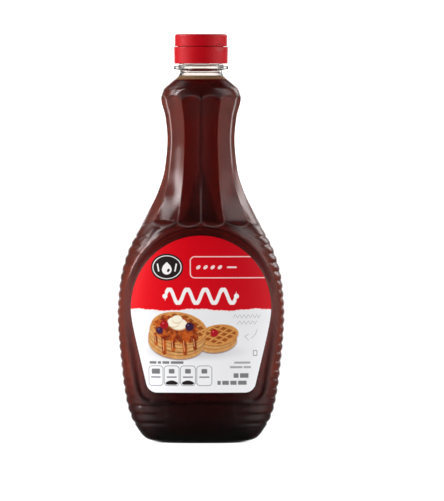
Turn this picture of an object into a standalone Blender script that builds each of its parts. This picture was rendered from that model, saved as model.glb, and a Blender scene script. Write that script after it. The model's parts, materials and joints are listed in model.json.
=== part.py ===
"""A clear squeeze bottle of dark syrup with a red flip-top cap and a label on its front and back.

Metres, +Z up. The origin is the middle of the bottle's foot, the front faces -Y and +X is to the right
of someone who looks at the front. The bottle is round in its fluted neck and oval in its body, where it
is about one and a half times as wide as deep, with grip ribs down both edges and a shallow arched panel
for each label.
"""

import math

import bmesh
import bpy
from mathutils import Matrix, Vector

# Heights above the table
FILL_HEIGHT = 0.2180
NECK_HEIGHT = 0.2238
RING_HEIGHT = 0.0020
MOUTH_HEIGHT = 0.2350
CAP_BOTTOM = 0.2272
SEAM_HEIGHT = 0.2376
CAP_TOP = 0.2449

# Half-width of the bottle at named heights: standing ring, heel, body, shoulder, waist, bulb, neck
HALF_WIDTH_STATIONS = (
    (0.0000, 0.0270),
    (0.0024, 0.0333),
    (0.0055, 0.0364),
    (0.0100, 0.0394),
    (0.0136, 0.0416),
    (0.0230, 0.0447),
    (0.0430, 0.0478),
    (0.0780, 0.0504),
    (0.0970, 0.0489),
    (0.1150, 0.0441),
    (0.1330, 0.0344),
    (0.1510, 0.0254),
    (0.1650, 0.0215),
    (0.1820, 0.02005),
    (0.1950, 0.0212),
    (0.2065, 0.0238),
    (0.2115, 0.0226),
    (0.2160, 0.0182),
    (0.2200, 0.0135),
    (0.2220, 0.01263),
    (0.2238, 0.01263),
)

# Half-depth below the height where the section turns round
HALF_DEPTH_STATIONS = (
    (0.0000, 0.0180),
    (0.0024, 0.0236),
    (0.0055, 0.0264),
    (0.0136, 0.0299),
    (0.0230, 0.0314),
    (0.0400, 0.0323),
    (0.1000, 0.0323),
    (0.1180, 0.0317),
    (0.1280, 0.0298),
    (0.1340, 0.0258),
    (0.1450, 0.0231),
    (0.1600, 0.0214),
    (0.1820, 0.02005),
)
ROUND_HEIGHT = 0.1820
BODY_ROUNDNESS = 2.4
BODY_ROUNDNESS_TOP = 0.120
NECK_ROUNDNESS = 2.0
NECK_ROUNDNESS_BOTTOM = 0.150

# Flutes round the neck: flat panels between sharp ridges, one ridge at the middle of the front
FLUTE_COUNT = 12
FLUTE_BOTTOM = 0.1304
FLUTE_TOP = 0.2080
FLUTE_BOTTOM_ARCH = 0.0032
FLUTE_TOP_ARCH = 0.0026
FLUTE_HOLLOW = 0.0003
FLUTE_EDGE = 0.0016

# Grip ribs down both edges of the body
RIB_PITCH = 0.00534
RIB_MIDDLE = 0.0785
RIBS_BELOW = 12
RIBS_ABOVE = 8
RIB_RELIEF = 0.0007
RIB_PANEL_GAP = 0.0008
RIB_EASE = 0.0020

# Label panels: shallow recesses of one depth, each an arch above tapered sides with rounded lower corners
PANEL_WIDEST = 0.0809
PANEL_HALF_WIDTH = 0.0450
PANEL_ARCH_RISE = 0.0468
PANEL_BOTTOM = 0.0256
PANEL_CORNER = 0.0070
PANEL_TAPER = 0.175
PANEL_DEPTH = 0.0012
RECESS_REACH = 0.040

# Labels on the panels, of the same outline drawn smaller
LABEL_HALF_WIDTH = 0.0418
LABEL_ARCH_RISE = 0.0435
LABEL_BOTTOM = 0.0306
LABEL_CORNER = 0.0048
LABEL_TAPER = 0.245
LABEL_GAP = 0.0003
LABEL_THICKNESS = 0.0002

TAPER_EASE = 0.008
CORNER_STEPS = 3
SIDE_STEPS = 6
ARCH_STEPS = 8
PANEL_COLUMNS = 10

# Walls and clearances
WALL = 0.0009
CONTENTS_GAP = 0.0003
CAVITY_ROUNDNESS = 2.3
CAVITY_BOTTOM = 0.0030
BULB_BORE = 0.0148
NECK_BORE = 0.0114
BORE_BOTTOM = 0.2215
RING_RADIUS = 0.0165
RING_ROUND = 0.0004
FINISH_RADIUS = 0.0132

# Push-up under the bottle, inside its standing ring
FOOT_WIDTH = 0.0035
PUSH_UP_HEIGHT = 0.0032
PUSH_UP_STEPS = 3
FLOOR_SECTION_HEIGHT = 0.0022

# Cap: a base with a spout, and a hinged lid
CAP_TOP_RADIUS = 0.0162
CAP_BOTTOM_RADIUS = 0.0160
SKIRT_INNER_RADIUS = 0.0143
LID_RADIUS = 0.0157
LID_INNER_RADIUS = 0.0139
LID_EDGE_ROUND = 0.0008
LID_ROOF = 0.0014
DECK_THICKNESS = 0.0014
DECK_GAP = 0.0003
RIM_WIDTH = 0.0013
SPOUT_RADIUS = 0.0055
SPOUT_TOP = 0.2410
ORIFICE_RADIUS = 0.0035
PIN_RADIUS = 0.0030
PIN_BOTTOM = 0.2394
SEAM_GAP = 0.0003

# Thumb scoop across the seam, with the lid's lip in it, and the hinge pads opposite
SCOOP_ANGLE = math.radians(45.0)
SCOOP_HALF_WIDTH = 0.0075
SCOOP_HALF_HEIGHT = 0.0050
SCOOP_REACH = 0.0040
SCOOP_DEPTH = 0.0011
SCOOP_HEIGHT = 0.2381
LIP_SIZE = (0.0052, 0.0020, 0.0010)
LIP_PROUD = 0.0002
PAD_SIZE = (0.0080, 0.0016, 0.0024)
HINGE_RADIUS = 0.0167
PAD_RADIUS = 0.0166

# Heights of the rings between the ribs and the flutes' ends, outside and in the cavity
HEEL_HEIGHTS = (0.0, 0.0009, 0.0024, 0.0050, 0.0082)
FLUTE_HEIGHTS = (0.1400, 0.1460, 0.1530, 0.1610, 0.1700, 0.1800, 0.1890, 0.1960, 0.2015)
BULB_HEIGHTS = (0.2100, 0.2120, 0.2140, 0.2160, 0.2180, 0.2200, 0.2220, NECK_HEIGHT)
CAVITY_HEIGHTS = (
    0.0060, 0.0130, 0.0230, 0.0400, 0.0600, 0.0780, 0.0920, 0.1060, 0.1180, 0.1270,
    0.1350, 0.1450, 0.1560, 0.1700, 0.1840, 0.1970, 0.2060, 0.2110, 0.2150,
)

BODY_COLUMNS = 48
INNER_COLUMNS = 24
CAP_STEPS = 36
SHARP_ANGLE = math.radians(35.0)
MERGE = 0.00001

PLASTIC_RED = (0.56, 0.006, 0.012, 1.0)
SYRUP_MAROON = (0.045, 0.004, 0.004, 1.0)
CLEAR = (0.92, 0.92, 0.90, 1.0)
LABEL_RED = (0.75, 0.004, 0.02, 1.0)
LABEL_WHITE = (0.86, 0.86, 0.87, 1.0)


class Profile:
    """A smooth curve of a value against height through named stations, without overshoot."""

    def __init__(self, stations):
        self.heights = [height for height, value in stations]
        self.values = [value for height, value in stations]
        steps = [
            (self.values[i + 1] - self.values[i]) / (self.heights[i + 1] - self.heights[i])
            for i in range(len(stations) - 1)
        ]
        self.slopes = [steps[0]]
        for before, after in zip(steps, steps[1:]):
            level = before * after <= 0.0
            self.slopes.append(0.0 if level else 2.0 * before * after / (before + after))
        self.slopes.append(steps[-1])

    def at(self, height):
        """The value at a height, held level past both ends."""
        if height <= self.heights[0]:
            return self.values[0]
        if height >= self.heights[-1]:
            return self.values[-1]
        i = max(k for k in range(len(self.heights) - 1) if self.heights[k] <= height)
        span = self.heights[i + 1] - self.heights[i]
        t = (height - self.heights[i]) / span
        start = self.values[i] * (1.0 + 2.0 * t) + self.slopes[i] * span * t
        end = self.values[i + 1] * (3.0 - 2.0 * t) - self.slopes[i + 1] * span * (1.0 - t)
        return start * (1.0 - t) ** 2 + end * t ** 2


HALF_WIDTH = Profile(HALF_WIDTH_STATIONS)
HALF_DEPTH = Profile(HALF_DEPTH_STATIONS)


def smooth(low, high, value):
    """Ease from 0 at low to 1 at high."""
    t = min(max((value - low) / (high - low), 0.0), 1.0)
    return t * t * (3.0 - 2.0 * t)


def half_depth(height):
    """Half-depth of the bottle's outside: its half-width where the section is round."""
    if height >= ROUND_HEIGHT:
        return HALF_WIDTH.at(height)
    return min(HALF_DEPTH.at(height), HALF_WIDTH.at(height))


def roundness(height, body=BODY_ROUNDNESS):
    """Exponent of the section's oval: 2 is an ellipse, and more is squarer."""
    share = smooth(BODY_ROUNDNESS_TOP, NECK_ROUNDNESS_BOTTOM, height)
    return body + (NECK_ROUNDNESS - body) * share


def oval_radius(angle, width, depth, exponent):
    """Distance from the axis to an oval of that half-width and half-depth, at an angle from the front."""
    across = abs(math.sin(angle)) / width
    along = abs(math.cos(angle)) / depth
    return (across ** exponent + along ** exponent) ** (-1.0 / exponent)


def flute_radius(angle, height, radius):
    """Radius with the flutes pressed in: a chord between ridges, a little hollow, arched at its ends."""
    half = math.pi / FLUTE_COUNT
    off_middle = (angle % (2.0 * half)) - half
    chord = radius * math.cos(half) / math.cos(off_middle)
    pressed = chord - FLUTE_HOLLOW * math.cos(0.5 * math.pi * off_middle / half)
    ridge = (off_middle / half) ** 2
    low = FLUTE_BOTTOM + FLUTE_BOTTOM_ARCH * ridge
    high = FLUTE_TOP - FLUTE_TOP_ARCH * ridge
    share = smooth(low, low + FLUTE_EDGE, height) * smooth(high, high - FLUTE_EDGE, height)
    return radius + (pressed - radius) * share


class Arch:
    """An outline that is flat at the bottom, tapers out to its widest height and closes in an arch."""

    def __init__(self, half_width, arch_rise, bottom, corner, taper):
        self.half_width = half_width
        self.arch_rise = arch_rise
        self.bottom = bottom
        self.corner = corner
        self.taper = taper

    def side(self, height):
        """Half-width below the widest height."""
        drop = max(PANEL_WIDEST - height, 0.0)
        return self.half_width - self.taper * (math.hypot(drop, TAPER_EASE) - TAPER_EASE)

    def edge(self, height):
        """Half-width at any height, 0 above the arch."""
        if height <= PANEL_WIDEST:
            return self.side(height)
        rise = min((height - PANEL_WIDEST) / self.arch_rise, 1.0)
        return self.half_width * math.sqrt(1.0 - rise * rise)

    def rows(self):
        """Height and half-width of each row, from the bottom edge to the top of the arch."""
        rows = []
        for step in range(CORNER_STEPS):
            turn = 0.5 * math.pi * step / CORNER_STEPS
            height = self.bottom + self.corner * (1.0 - math.cos(turn))
            rows.append((height, self.side(height) - self.corner * (1.0 - math.sin(turn))))
        for step in range(SIDE_STEPS):
            straight = PANEL_WIDEST - self.bottom - self.corner
            height = self.bottom + self.corner + straight * step / SIDE_STEPS
            rows.append((height, self.side(height)))
        for step in range(ARCH_STEPS + 1):
            turn = 0.5 * math.pi * step / ARCH_STEPS
            height = PANEL_WIDEST + self.arch_rise * math.sin(turn)
            rows.append((height, self.half_width * math.cos(turn)))
        return rows


PANEL = Arch(PANEL_HALF_WIDTH, PANEL_ARCH_RISE, PANEL_BOTTOM, PANEL_CORNER, PANEL_TAPER)
LABEL = Arch(LABEL_HALF_WIDTH, LABEL_ARCH_RISE, LABEL_BOTTOM, LABEL_CORNER, LABEL_TAPER)


def rib_groove(angle, height, radius):
    """Depth of the grooves between the grip ribs, on the edges of the body outside the panels."""
    low = RIB_MIDDLE - (RIBS_BELOW + 0.5) * RIB_PITCH
    high = RIB_MIDDLE + (RIBS_ABOVE + 0.5) * RIB_PITCH
    if not low - MERGE <= height <= high + MERGE:
        return 0.0
    groove = 1.0 - abs(math.cos(math.pi * (height - RIB_MIDDLE) / RIB_PITCH))
    across = abs(radius * math.sin(angle))
    start = PANEL.edge(height) + RIB_PANEL_GAP
    return RIB_RELIEF * groove * smooth(start, start + RIB_EASE, across)


def outer_ring(height):
    """Points round the outside of the bottle at a height."""
    points = []
    for column in range(BODY_COLUMNS):
        angle = 2.0 * math.pi * column / BODY_COLUMNS
        radius = oval_radius(angle, HALF_WIDTH.at(height), half_depth(height), roundness(height))
        radius = flute_radius(angle, height, radius)
        radius -= rib_groove(angle, height, radius)
        points.append(Vector((radius * math.sin(angle), -radius * math.cos(angle), height)))
    return points


def oval_ring(height, width, depth, exponent, columns):
    """Points at a height round a plain oval of that half-width and half-depth."""
    points = []
    for column in range(columns):
        angle = 2.0 * math.pi * column / columns
        radius = oval_radius(angle, width, depth, exponent)
        points.append(Vector((radius * math.sin(angle), -radius * math.cos(angle), height)))
    return points


def loft(name, rings):
    """A closed solid through rings of equal length, from the lowest to the highest, capped at both ends."""
    mesh_builder = bmesh.new()
    loops = [[mesh_builder.verts.new(point) for point in ring] for ring in rings]
    count = len(loops[0])
    for lower, upper in zip(loops, loops[1:]):
        for i in range(count):
            j = (i + 1) % count
            mesh_builder.faces.new((lower[i], lower[j], upper[j], upper[i]))
    mesh_builder.faces.new(list(reversed(loops[0])))
    mesh_builder.faces.new(loops[-1])
    return finish_mesh(name, mesh_builder)


def finish_mesh(name, mesh_builder):
    """Turn the faces outwards, shade them smooth and make the object."""
    bmesh.ops.remove_doubles(mesh_builder, verts=mesh_builder.verts, dist=MERGE)
    bmesh.ops.recalc_face_normals(mesh_builder, faces=mesh_builder.faces)
    mesh = bpy.data.meshes.new(name)
    mesh_builder.to_mesh(mesh)
    mesh_builder.free()
    mesh.shade_smooth()
    mesh.set_sharp_from_angle(angle=SHARP_ANGLE)
    return bpy.data.objects.new(name, mesh)


def body_heights():
    """Heights of the rings round the body: two for each grip rib, closer at the ends of the flutes."""
    ribs = [
        RIB_MIDDLE + 0.5 * RIB_PITCH * step
        for step in range(-2 * RIBS_BELOW - 1, 2 * RIBS_ABOVE + 2)
    ]
    flute_foot = [FLUTE_BOTTOM + FLUTE_EDGE * step for step in (-2.0, -1.0, 0.0, 1.0, 2.0, 3.0)]
    flute_head = [FLUTE_TOP + FLUTE_EDGE * step for step in (-2.5, -1.5, -0.6, 0.2)]
    return [*HEEL_HEIGHTS, *ribs, *flute_foot, *FLUTE_HEIGHTS, *flute_head, *BULB_HEIGHTS]


def foot_rings(columns, lift, width, depth):
    """Rings of the push-up from its middle out to the standing ring, for the outside or the cavity."""
    rings = []
    for step in range(1, PUSH_UP_STEPS + 1):
        share = step / PUSH_UP_STEPS
        height = lift + PUSH_UP_HEIGHT * (1.0 - share * share)
        rings.append(oval_ring(height, width * share, depth * share, BODY_ROUNDNESS, columns))
    return rings


def make_outside():
    """The bottle's outside as one solid, from the push-up to the mouth."""
    foot_half_width = HALF_WIDTH_STATIONS[0][1] - FOOT_WIDTH
    foot_half_depth = HALF_DEPTH_STATIONS[0][1] - FOOT_WIDTH
    rings = foot_rings(BODY_COLUMNS, 0.0, foot_half_width, foot_half_depth)
    rings += [outer_ring(height) for height in body_heights()]
    ring_top = NECK_HEIGHT + RING_HEIGHT
    turned = (
        (NECK_HEIGHT + RING_ROUND, RING_RADIUS - RING_ROUND),
        (NECK_HEIGHT + 2.0 * RING_ROUND, RING_RADIUS),
        (ring_top - RING_ROUND, RING_RADIUS),
        (ring_top, RING_RADIUS - RING_ROUND),
        (ring_top + RING_ROUND, FINISH_RADIUS),
        (MOUTH_HEIGHT, FINISH_RADIUS),
    )
    rings += [oval_ring(height, radius, radius, NECK_ROUNDNESS, BODY_COLUMNS) for height, radius in turned]
    return loft("bottle", rings)


def inner_section(height, gap):
    """Half-width, half-depth and exponent of the cavity, or of contents that keep a gap to it."""
    chord = math.cos(math.pi / FLUTE_COUNT)
    round_share = smooth(PANEL_WIDEST + PANEL_ARCH_RISE, FLUTE_BOTTOM + FLUTE_BOTTOM_ARCH, height)
    pressed = chord * round_share + 1.0 - round_share
    inset = PANEL_DEPTH * (1.0 - round_share) + FLUTE_HOLLOW * round_share + WALL + gap
    width = HALF_WIDTH.at(height) * pressed - inset
    depth = half_depth(height) * pressed - inset
    return width, depth, roundness(height, CAVITY_ROUNDNESS)


def inner_rings(gap):
    """Rings of the cavity or of contents that keep a gap to it: the domed floor, then up to the bulb."""
    lift = WALL + gap
    width, depth, exponent = inner_section(FLOOR_SECTION_HEIGHT, gap)
    rings = foot_rings(INNER_COLUMNS, lift, width - FOOT_WIDTH - lift, depth - FOOT_WIDTH - lift)
    for height in (CAVITY_BOTTOM + gap, *CAVITY_HEIGHTS):
        width, depth, exponent = inner_section(height, gap)
        rings.append(oval_ring(height, width, depth, exponent, INNER_COLUMNS))
    return rings


def make_cavity():
    """The space inside the bottle, open at the mouth."""
    rings = inner_rings(0.0)
    above = ((FILL_HEIGHT, BULB_BORE), (BORE_BOTTOM, NECK_BORE), (MOUTH_HEIGHT + WALL, NECK_BORE))
    for height, radius in above:
        rings.append(oval_ring(height, radius, radius, NECK_ROUNDNESS, INNER_COLUMNS))
    return loft("cavity_cutter", rings)


def make_syrup():
    """The syrup up to its level in the bulb of the neck."""
    rings = inner_rings(CONTENTS_GAP)
    radius = BULB_BORE - CONTENTS_GAP
    rings.append(oval_ring(FILL_HEIGHT, radius, radius, NECK_ROUNDNESS, INNER_COLUMNS))
    return loft("syrup", rings)


def panel_point(across, height, lift):
    """A point on the front panel's curved face, or lifted off it along the section's normal."""
    width = HALF_WIDTH.at(height) - PANEL_DEPTH
    depth = half_depth(height) - PANEL_DEPTH
    exponent = roundness(height)
    share = (abs(across) / width) ** exponent
    face = depth * (1.0 - share) ** (1.0 / exponent)
    fall = 0.0
    if across:
        fall = depth * (1.0 - share) ** (1.0 / exponent - 1.0) * share / abs(across)
    normal = Vector((math.copysign(fall, across), -1.0, 0.0)).normalized()
    return Vector((across, -face, height)) + lift * normal


def split_cell(corners):
    """A cell of a curved face as two triangles, along the diagonal that crosses less of the curve."""
    a, b, c, d = corners
    if abs(a.co.x - c.co.x) < abs(b.co.x - d.co.x):
        return (a, b, c), (a, c, d)
    return (a, b, d), (b, c, d)


def sheet(name, outline, back, face):
    """A closed solid with an outline, between the faces that back(across, height) and face(...) give."""
    mesh_builder = bmesh.new()
    grids = ([], [])
    middle = 0.5 * PANEL_COLUMNS
    columns = [math.sin(0.5 * math.pi * (c - middle) / middle) for c in range(PANEL_COLUMNS + 1)]
    for height, half_width in outline.rows():
        for grid, place in zip(grids, (back, face)):
            row = [mesh_builder.verts.new(place(half_width * column, height)) for column in columns]
            grid.append(row)
    inner, outer = grids
    for r in range(len(inner) - 1):
        for c in range(PANEL_COLUMNS):
            for grid in grids:
                corners = (grid[r][c], grid[r][c + 1], grid[r + 1][c + 1], grid[r + 1][c])
                for triangle in split_cell(corners):
                    mesh_builder.faces.new(triangle)
        for c in (0, PANEL_COLUMNS):
            mesh_builder.faces.new((inner[r][c], inner[r + 1][c], outer[r + 1][c], outer[r][c]))
    for c in range(PANEL_COLUMNS):
        mesh_builder.faces.new((inner[0][c], outer[0][c], outer[0][c + 1], inner[0][c + 1]))
    return finish_mesh(name, mesh_builder)


def make_recess(name):
    """Cutter of the front panel's shallow recess."""
    return sheet(
        name,
        PANEL,
        lambda across, height: panel_point(across, height, 0.0),
        lambda across, height: Vector((across, -RECESS_REACH, height)),
    )


def make_label(name):
    """The front label, a thin sheet just clear of its panel."""
    return sheet(
        name,
        LABEL,
        lambda across, height: panel_point(across, height, LABEL_GAP),
        lambda across, height: panel_point(across, height, LABEL_GAP + LABEL_THICKNESS),
    )


def turn_to_back(part):
    """Turn a front piece round to the back."""
    part.data.transform(Matrix.Rotation(math.pi, 4, "Z"))
    return part


def turned(name, profile):
    """A solid turned from a profile of (radius, height) points, down its outer side first."""
    mesh_builder = bmesh.new()
    verts = [mesh_builder.verts.new((radius, 0.0, height)) for radius, height in profile]
    for first, second in zip(verts, verts[1:]):
        mesh_builder.edges.new((first, second))
    if profile[0][0] > 0.0:
        mesh_builder.edges.new((verts[-1], verts[0]))
    mesh = bpy.data.meshes.new(name)
    mesh_builder.to_mesh(mesh)
    mesh_builder.free()
    part = bpy.data.objects.new(name, mesh)
    screw = part.modifiers.new("turn", "SCREW")
    screw.steps = CAP_STEPS
    screw.render_steps = CAP_STEPS
    screw.use_merge_vertices = True
    screw.merge_threshold = MERGE
    screw.use_smooth_shade = True
    return part


def at_angle(angle, radius, height):
    """A place round the cap, at an angle to the right of the front."""
    return Vector((radius * math.sin(angle), -radius * math.cos(angle), height))


def block(name, size, angle, radius, height):
    """A small box, tangent to the cap, with its outer face at a radius."""
    mesh_builder = bmesh.new()
    bmesh.ops.create_cube(mesh_builder, size=1.0)
    bmesh.ops.scale(mesh_builder, vec=Vector(size), verts=mesh_builder.verts)
    mesh = bpy.data.meshes.new(name)
    mesh_builder.to_mesh(mesh)
    mesh_builder.free()
    part = bpy.data.objects.new(name, mesh)
    place = at_angle(angle, radius - 0.5 * size[1], height)
    mesh.transform(Matrix.Translation(place) @ Matrix.Rotation(angle, 4, "Z"))
    return part


def make_scoop():
    """Cutter of the thumb scoop: a flat ellipsoid set into the cap's wall."""
    mesh_builder = bmesh.new()
    bmesh.ops.create_uvsphere(mesh_builder, u_segments=20, v_segments=12, radius=1.0)
    size = Vector((SCOOP_HALF_WIDTH, SCOOP_REACH, SCOOP_HALF_HEIGHT))
    bmesh.ops.scale(mesh_builder, vec=size, verts=mesh_builder.verts)
    mesh = bpy.data.meshes.new("scoop_cutter")
    mesh_builder.to_mesh(mesh)
    mesh_builder.free()
    place = at_angle(SCOOP_ANGLE, CAP_TOP_RADIUS - SCOOP_DEPTH + SCOOP_REACH, SCOOP_HEIGHT)
    mesh.transform(Matrix.Translation(place) @ Matrix.Rotation(SCOOP_ANGLE, 4, "Z"))
    return bpy.data.objects.new("scoop_cutter", mesh)


def make_cap_base():
    """The cap's base: skirt, deck, rim under the lid and spout with its orifice."""
    rim = SEAM_HEIGHT - SEAM_GAP
    deck_bottom = MOUTH_HEIGHT + DECK_GAP
    deck_top = deck_bottom + DECK_THICKNESS
    return turned("cap_base", (
        (CAP_TOP_RADIUS, rim),
        (CAP_BOTTOM_RADIUS, CAP_BOTTOM),
        (SKIRT_INNER_RADIUS, CAP_BOTTOM),
        (SKIRT_INNER_RADIUS, deck_bottom),
        (ORIFICE_RADIUS, deck_bottom),
        (ORIFICE_RADIUS, SPOUT_TOP),
        (SPOUT_RADIUS, SPOUT_TOP),
        (SPOUT_RADIUS, deck_top),
        (CAP_TOP_RADIUS - RIM_WIDTH, deck_top),
        (CAP_TOP_RADIUS - RIM_WIDTH, rim),
    ))


def make_flip_lid():
    """The lid: a shallow cup with a rounded top edge and a pin that stops the orifice."""
    roof = CAP_TOP - LID_ROOF
    soft = LID_EDGE_ROUND * (1.0 - math.sqrt(0.5))
    return turned("flip_lid", (
        (0.0, CAP_TOP),
        (LID_RADIUS - LID_EDGE_ROUND, CAP_TOP),
        (LID_RADIUS - soft, CAP_TOP - soft),
        (LID_RADIUS, CAP_TOP - LID_EDGE_ROUND),
        (LID_RADIUS, SEAM_HEIGHT),
        (LID_INNER_RADIUS, SEAM_HEIGHT),
        (LID_INNER_RADIUS, roof),
        (PIN_RADIUS, roof),
        (PIN_RADIUS, PIN_BOTTOM),
        (0.0, PIN_BOTTOM),
    ))


def boolean(part, other, operation):
    """Join or cut a part with another object."""
    modifier = part.modifiers.new(f"{operation}_{other.name}".lower(), "BOOLEAN")
    modifier.operation = operation
    modifier.object = other
    modifier.solver = "EXACT"


def paint(part, color, gloss, transmission=0.0):
    """Give a part its own plain material, whose roughness is gloss."""
    material = bpy.data.materials.new(part.name)
    material.use_nodes = True
    shader = material.node_tree.nodes["Principled BSDF"]
    shader.inputs["Base Color"].default_value = color
    shader.inputs["Roughness"].default_value = gloss
    shader.inputs["Metallic"].default_value = 0.0
    shader.inputs["Transmission Weight"].default_value = transmission
    part.data.materials.append(material)


def new_collection(name):
    """A collection in the scene."""
    collection = bpy.data.collections.new(name)
    bpy.context.scene.collection.children.link(collection)
    return collection


def clear_scene():
    """Remove whatever the scene holds."""
    for old in list(bpy.data.objects):
        bpy.data.objects.remove(old, do_unlink=True)


def main():
    """Build every piece of the bottle in its place."""
    clear_scene()
    parts = new_collection("syrup_bottle")
    cutters = new_collection("cutters")

    bottle = make_outside()
    recess = make_recess("front_recess_cutter")
    back_recess = turn_to_back(make_recess("back_recess_cutter"))
    cavity = make_cavity()
    syrup = make_syrup()
    front_label = make_label("front_label")
    back_label = turn_to_back(make_label("back_label"))
    cap_base = make_cap_base()
    lid = make_flip_lid()
    scoop = make_scoop()
    hinge_angle = SCOOP_ANGLE + math.pi
    pad_width, pad_depth, pad_height = PAD_SIZE
    lip_height = SEAM_HEIGHT + 0.5 * LIP_SIZE[2]
    lip = block("lip_union", LIP_SIZE, SCOOP_ANGLE, LID_RADIUS + LIP_PROUD, lip_height)
    lid_pad_height = SEAM_HEIGHT + 0.5 * pad_height
    base_pad_height = SEAM_HEIGHT - SEAM_GAP - 0.5 * pad_height
    lid_pad = block("lid_pad_union", PAD_SIZE, hinge_angle, PAD_RADIUS, lid_pad_height)
    base_pad = block("base_pad_union", PAD_SIZE, hinge_angle, PAD_RADIUS, base_pad_height)

    for cutter in (recess, back_recess, cavity):
        boolean(bottle, cutter, "DIFFERENCE")
    boolean(cap_base, scoop, "DIFFERENCE")
    boolean(cap_base, base_pad, "UNION")
    boolean(lid, scoop, "DIFFERENCE")
    boolean(lid, lip, "UNION")
    boolean(lid, lid_pad, "UNION")

    paint(bottle, CLEAR, 0.08, 0.9)
    paint(syrup, SYRUP_MAROON, 0.05)
    paint(front_label, LABEL_RED, 0.35)
    paint(back_label, LABEL_WHITE, 0.35)
    paint(cap_base, PLASTIC_RED, 0.32)
    paint(lid, PLASTIC_RED, 0.32)

    for part in (bottle, syrup, front_label, back_label, cap_base, lid):
        parts.objects.link(part)
    for cutter in (recess, back_recess, cavity, scoop, lip, lid_pad, base_pad):
        cutters.objects.link(cutter)
        cutter.hide_render = True
        cutter.display_type = "WIRE"

    hinge = bpy.data.objects.new("lid_hinge", None)
    hinge.location = at_angle(hinge_angle, HINGE_RADIUS, SEAM_HEIGHT - 0.5 * SEAM_GAP)
    parts.objects.link(hinge)
    lid.parent = hinge
    lid.location = -hinge.location


main()
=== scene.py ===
"""Looks of a clear squeeze bottle of dark pancake syrup, with a red flip-top cap and two labels.

Metres, +Z up. The bottle stands on its foot with the front label facing -Y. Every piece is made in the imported
model's own frame, so it lies where the solid lies that it stands for.
"""

import json
import logging
import math
from collections.abc import Sequence
from dataclasses import dataclass
from enum import Enum

import bmesh
import bpy
import numpy as np
from mathutils import Matrix, Vector

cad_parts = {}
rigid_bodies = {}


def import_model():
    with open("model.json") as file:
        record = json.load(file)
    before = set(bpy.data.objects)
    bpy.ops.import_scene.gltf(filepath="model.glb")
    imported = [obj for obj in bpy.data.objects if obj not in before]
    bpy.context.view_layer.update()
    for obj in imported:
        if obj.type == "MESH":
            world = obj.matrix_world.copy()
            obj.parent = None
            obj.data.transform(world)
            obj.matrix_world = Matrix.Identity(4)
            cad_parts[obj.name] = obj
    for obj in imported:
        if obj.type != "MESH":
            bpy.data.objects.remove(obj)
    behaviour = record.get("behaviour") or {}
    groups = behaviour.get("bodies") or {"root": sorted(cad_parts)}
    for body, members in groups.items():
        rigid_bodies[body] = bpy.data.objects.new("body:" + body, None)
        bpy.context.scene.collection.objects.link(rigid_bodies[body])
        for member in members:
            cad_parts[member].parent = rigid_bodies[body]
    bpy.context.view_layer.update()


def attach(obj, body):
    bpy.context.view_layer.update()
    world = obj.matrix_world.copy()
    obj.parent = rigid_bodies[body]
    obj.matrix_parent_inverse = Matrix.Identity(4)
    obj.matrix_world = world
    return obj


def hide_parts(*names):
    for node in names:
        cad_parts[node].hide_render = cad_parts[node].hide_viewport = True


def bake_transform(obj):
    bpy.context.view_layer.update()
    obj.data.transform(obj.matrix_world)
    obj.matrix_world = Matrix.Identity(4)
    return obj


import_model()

log = logging.getLogger("syrup_bottle")

MM = 0.001
TURN = 2.0 * math.pi
HIDDEN_EDGE = 1e-6

Colour = tuple[float, float, float, float]
Point = tuple[float, float, float]
Pair = tuple[float, float]

OFF_PANEL = 0.05


def grey(level: float) -> Colour:
    """A grey, from black at 0 to white at 1."""
    return (level, level, level, 1.0)


def ink(red: int, green: int, blue: int) -> Colour:
    """A colour given as it looks on a screen.

    Args:
        red, green, blue: Strengths from 0 to 255.

    Returns:
        The same colour in the linear values that materials take.
    """

    def linear(strength: int) -> float:
        """One strength, linear."""
        share = strength / 255.0
        return share / 12.92 if share <= 0.04045 else ((share + 0.055) / 1.055) ** 2.4

    return (linear(red), linear(green), linear(blue), 1.0)


def placed(name: str, data: bpy.types.ID) -> bpy.types.Object:
    """Show a mesh, a light or a camera in the scene.

    Args:
        name: The object's name.
        data: What it shows.

    Returns:
        The object.
    """
    part = bpy.data.objects.new(name, data)
    bpy.context.scene.collection.objects.link(part)
    return part


class Value:
    """A number or a colour at each point of a surface, worked out by a node tree. It takes the usual signs."""

    def __init__(self, graph: "Graph", socket: bpy.types.NodeSocket) -> None:
        """Keep the tree and the socket that gives the value."""
        self.graph = graph
        self.socket = socket

    def __add__(self, other: "Value | float") -> "Value":
        """Sum."""
        return self.graph.math("ADD", self, other)

    def __sub__(self, other: "Value | float") -> "Value":
        """Difference."""
        return self.graph.math("SUBTRACT", self, other)

    def __rsub__(self, other: float) -> "Value":
        """Difference from a number."""
        return self.graph.math("SUBTRACT", other, self)

    def __mul__(self, other: "Value | float") -> "Value":
        """Product."""
        return self.graph.math("MULTIPLY", self, other)

    def __truediv__(self, other: "Value | float") -> "Value":
        """Quotient."""
        return self.graph.math("DIVIDE", self, other)

    def __rtruediv__(self, other: float) -> "Value":
        """Quotient of a number."""
        return self.graph.math("DIVIDE", other, self)

    def __pow__(self, other: float) -> "Value":
        """Power."""
        return self.graph.math("POWER", self, other)

    def __abs__(self) -> "Value":
        """Size without sign."""
        return self.graph.math("ABSOLUTE", self)

    __radd__ = __add__
    __rmul__ = __mul__

    def sine(self) -> "Value":
        """Sine of an angle in radians."""
        return self.graph.math("SINE", self)

    def cosine(self) -> "Value":
        """Cosine of an angle in radians."""
        return self.graph.math("COSINE", self)

    def root(self) -> "Value":
        """Square root."""
        return self.graph.math("SQRT", self)

    def most(self, other: "Value | float") -> "Value":
        """The larger of two."""
        return self.graph.math("MAXIMUM", self, other)

    def least(self, other: "Value | float") -> "Value":
        """The smaller of two."""
        return self.graph.math("MINIMUM", self, other)


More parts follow.
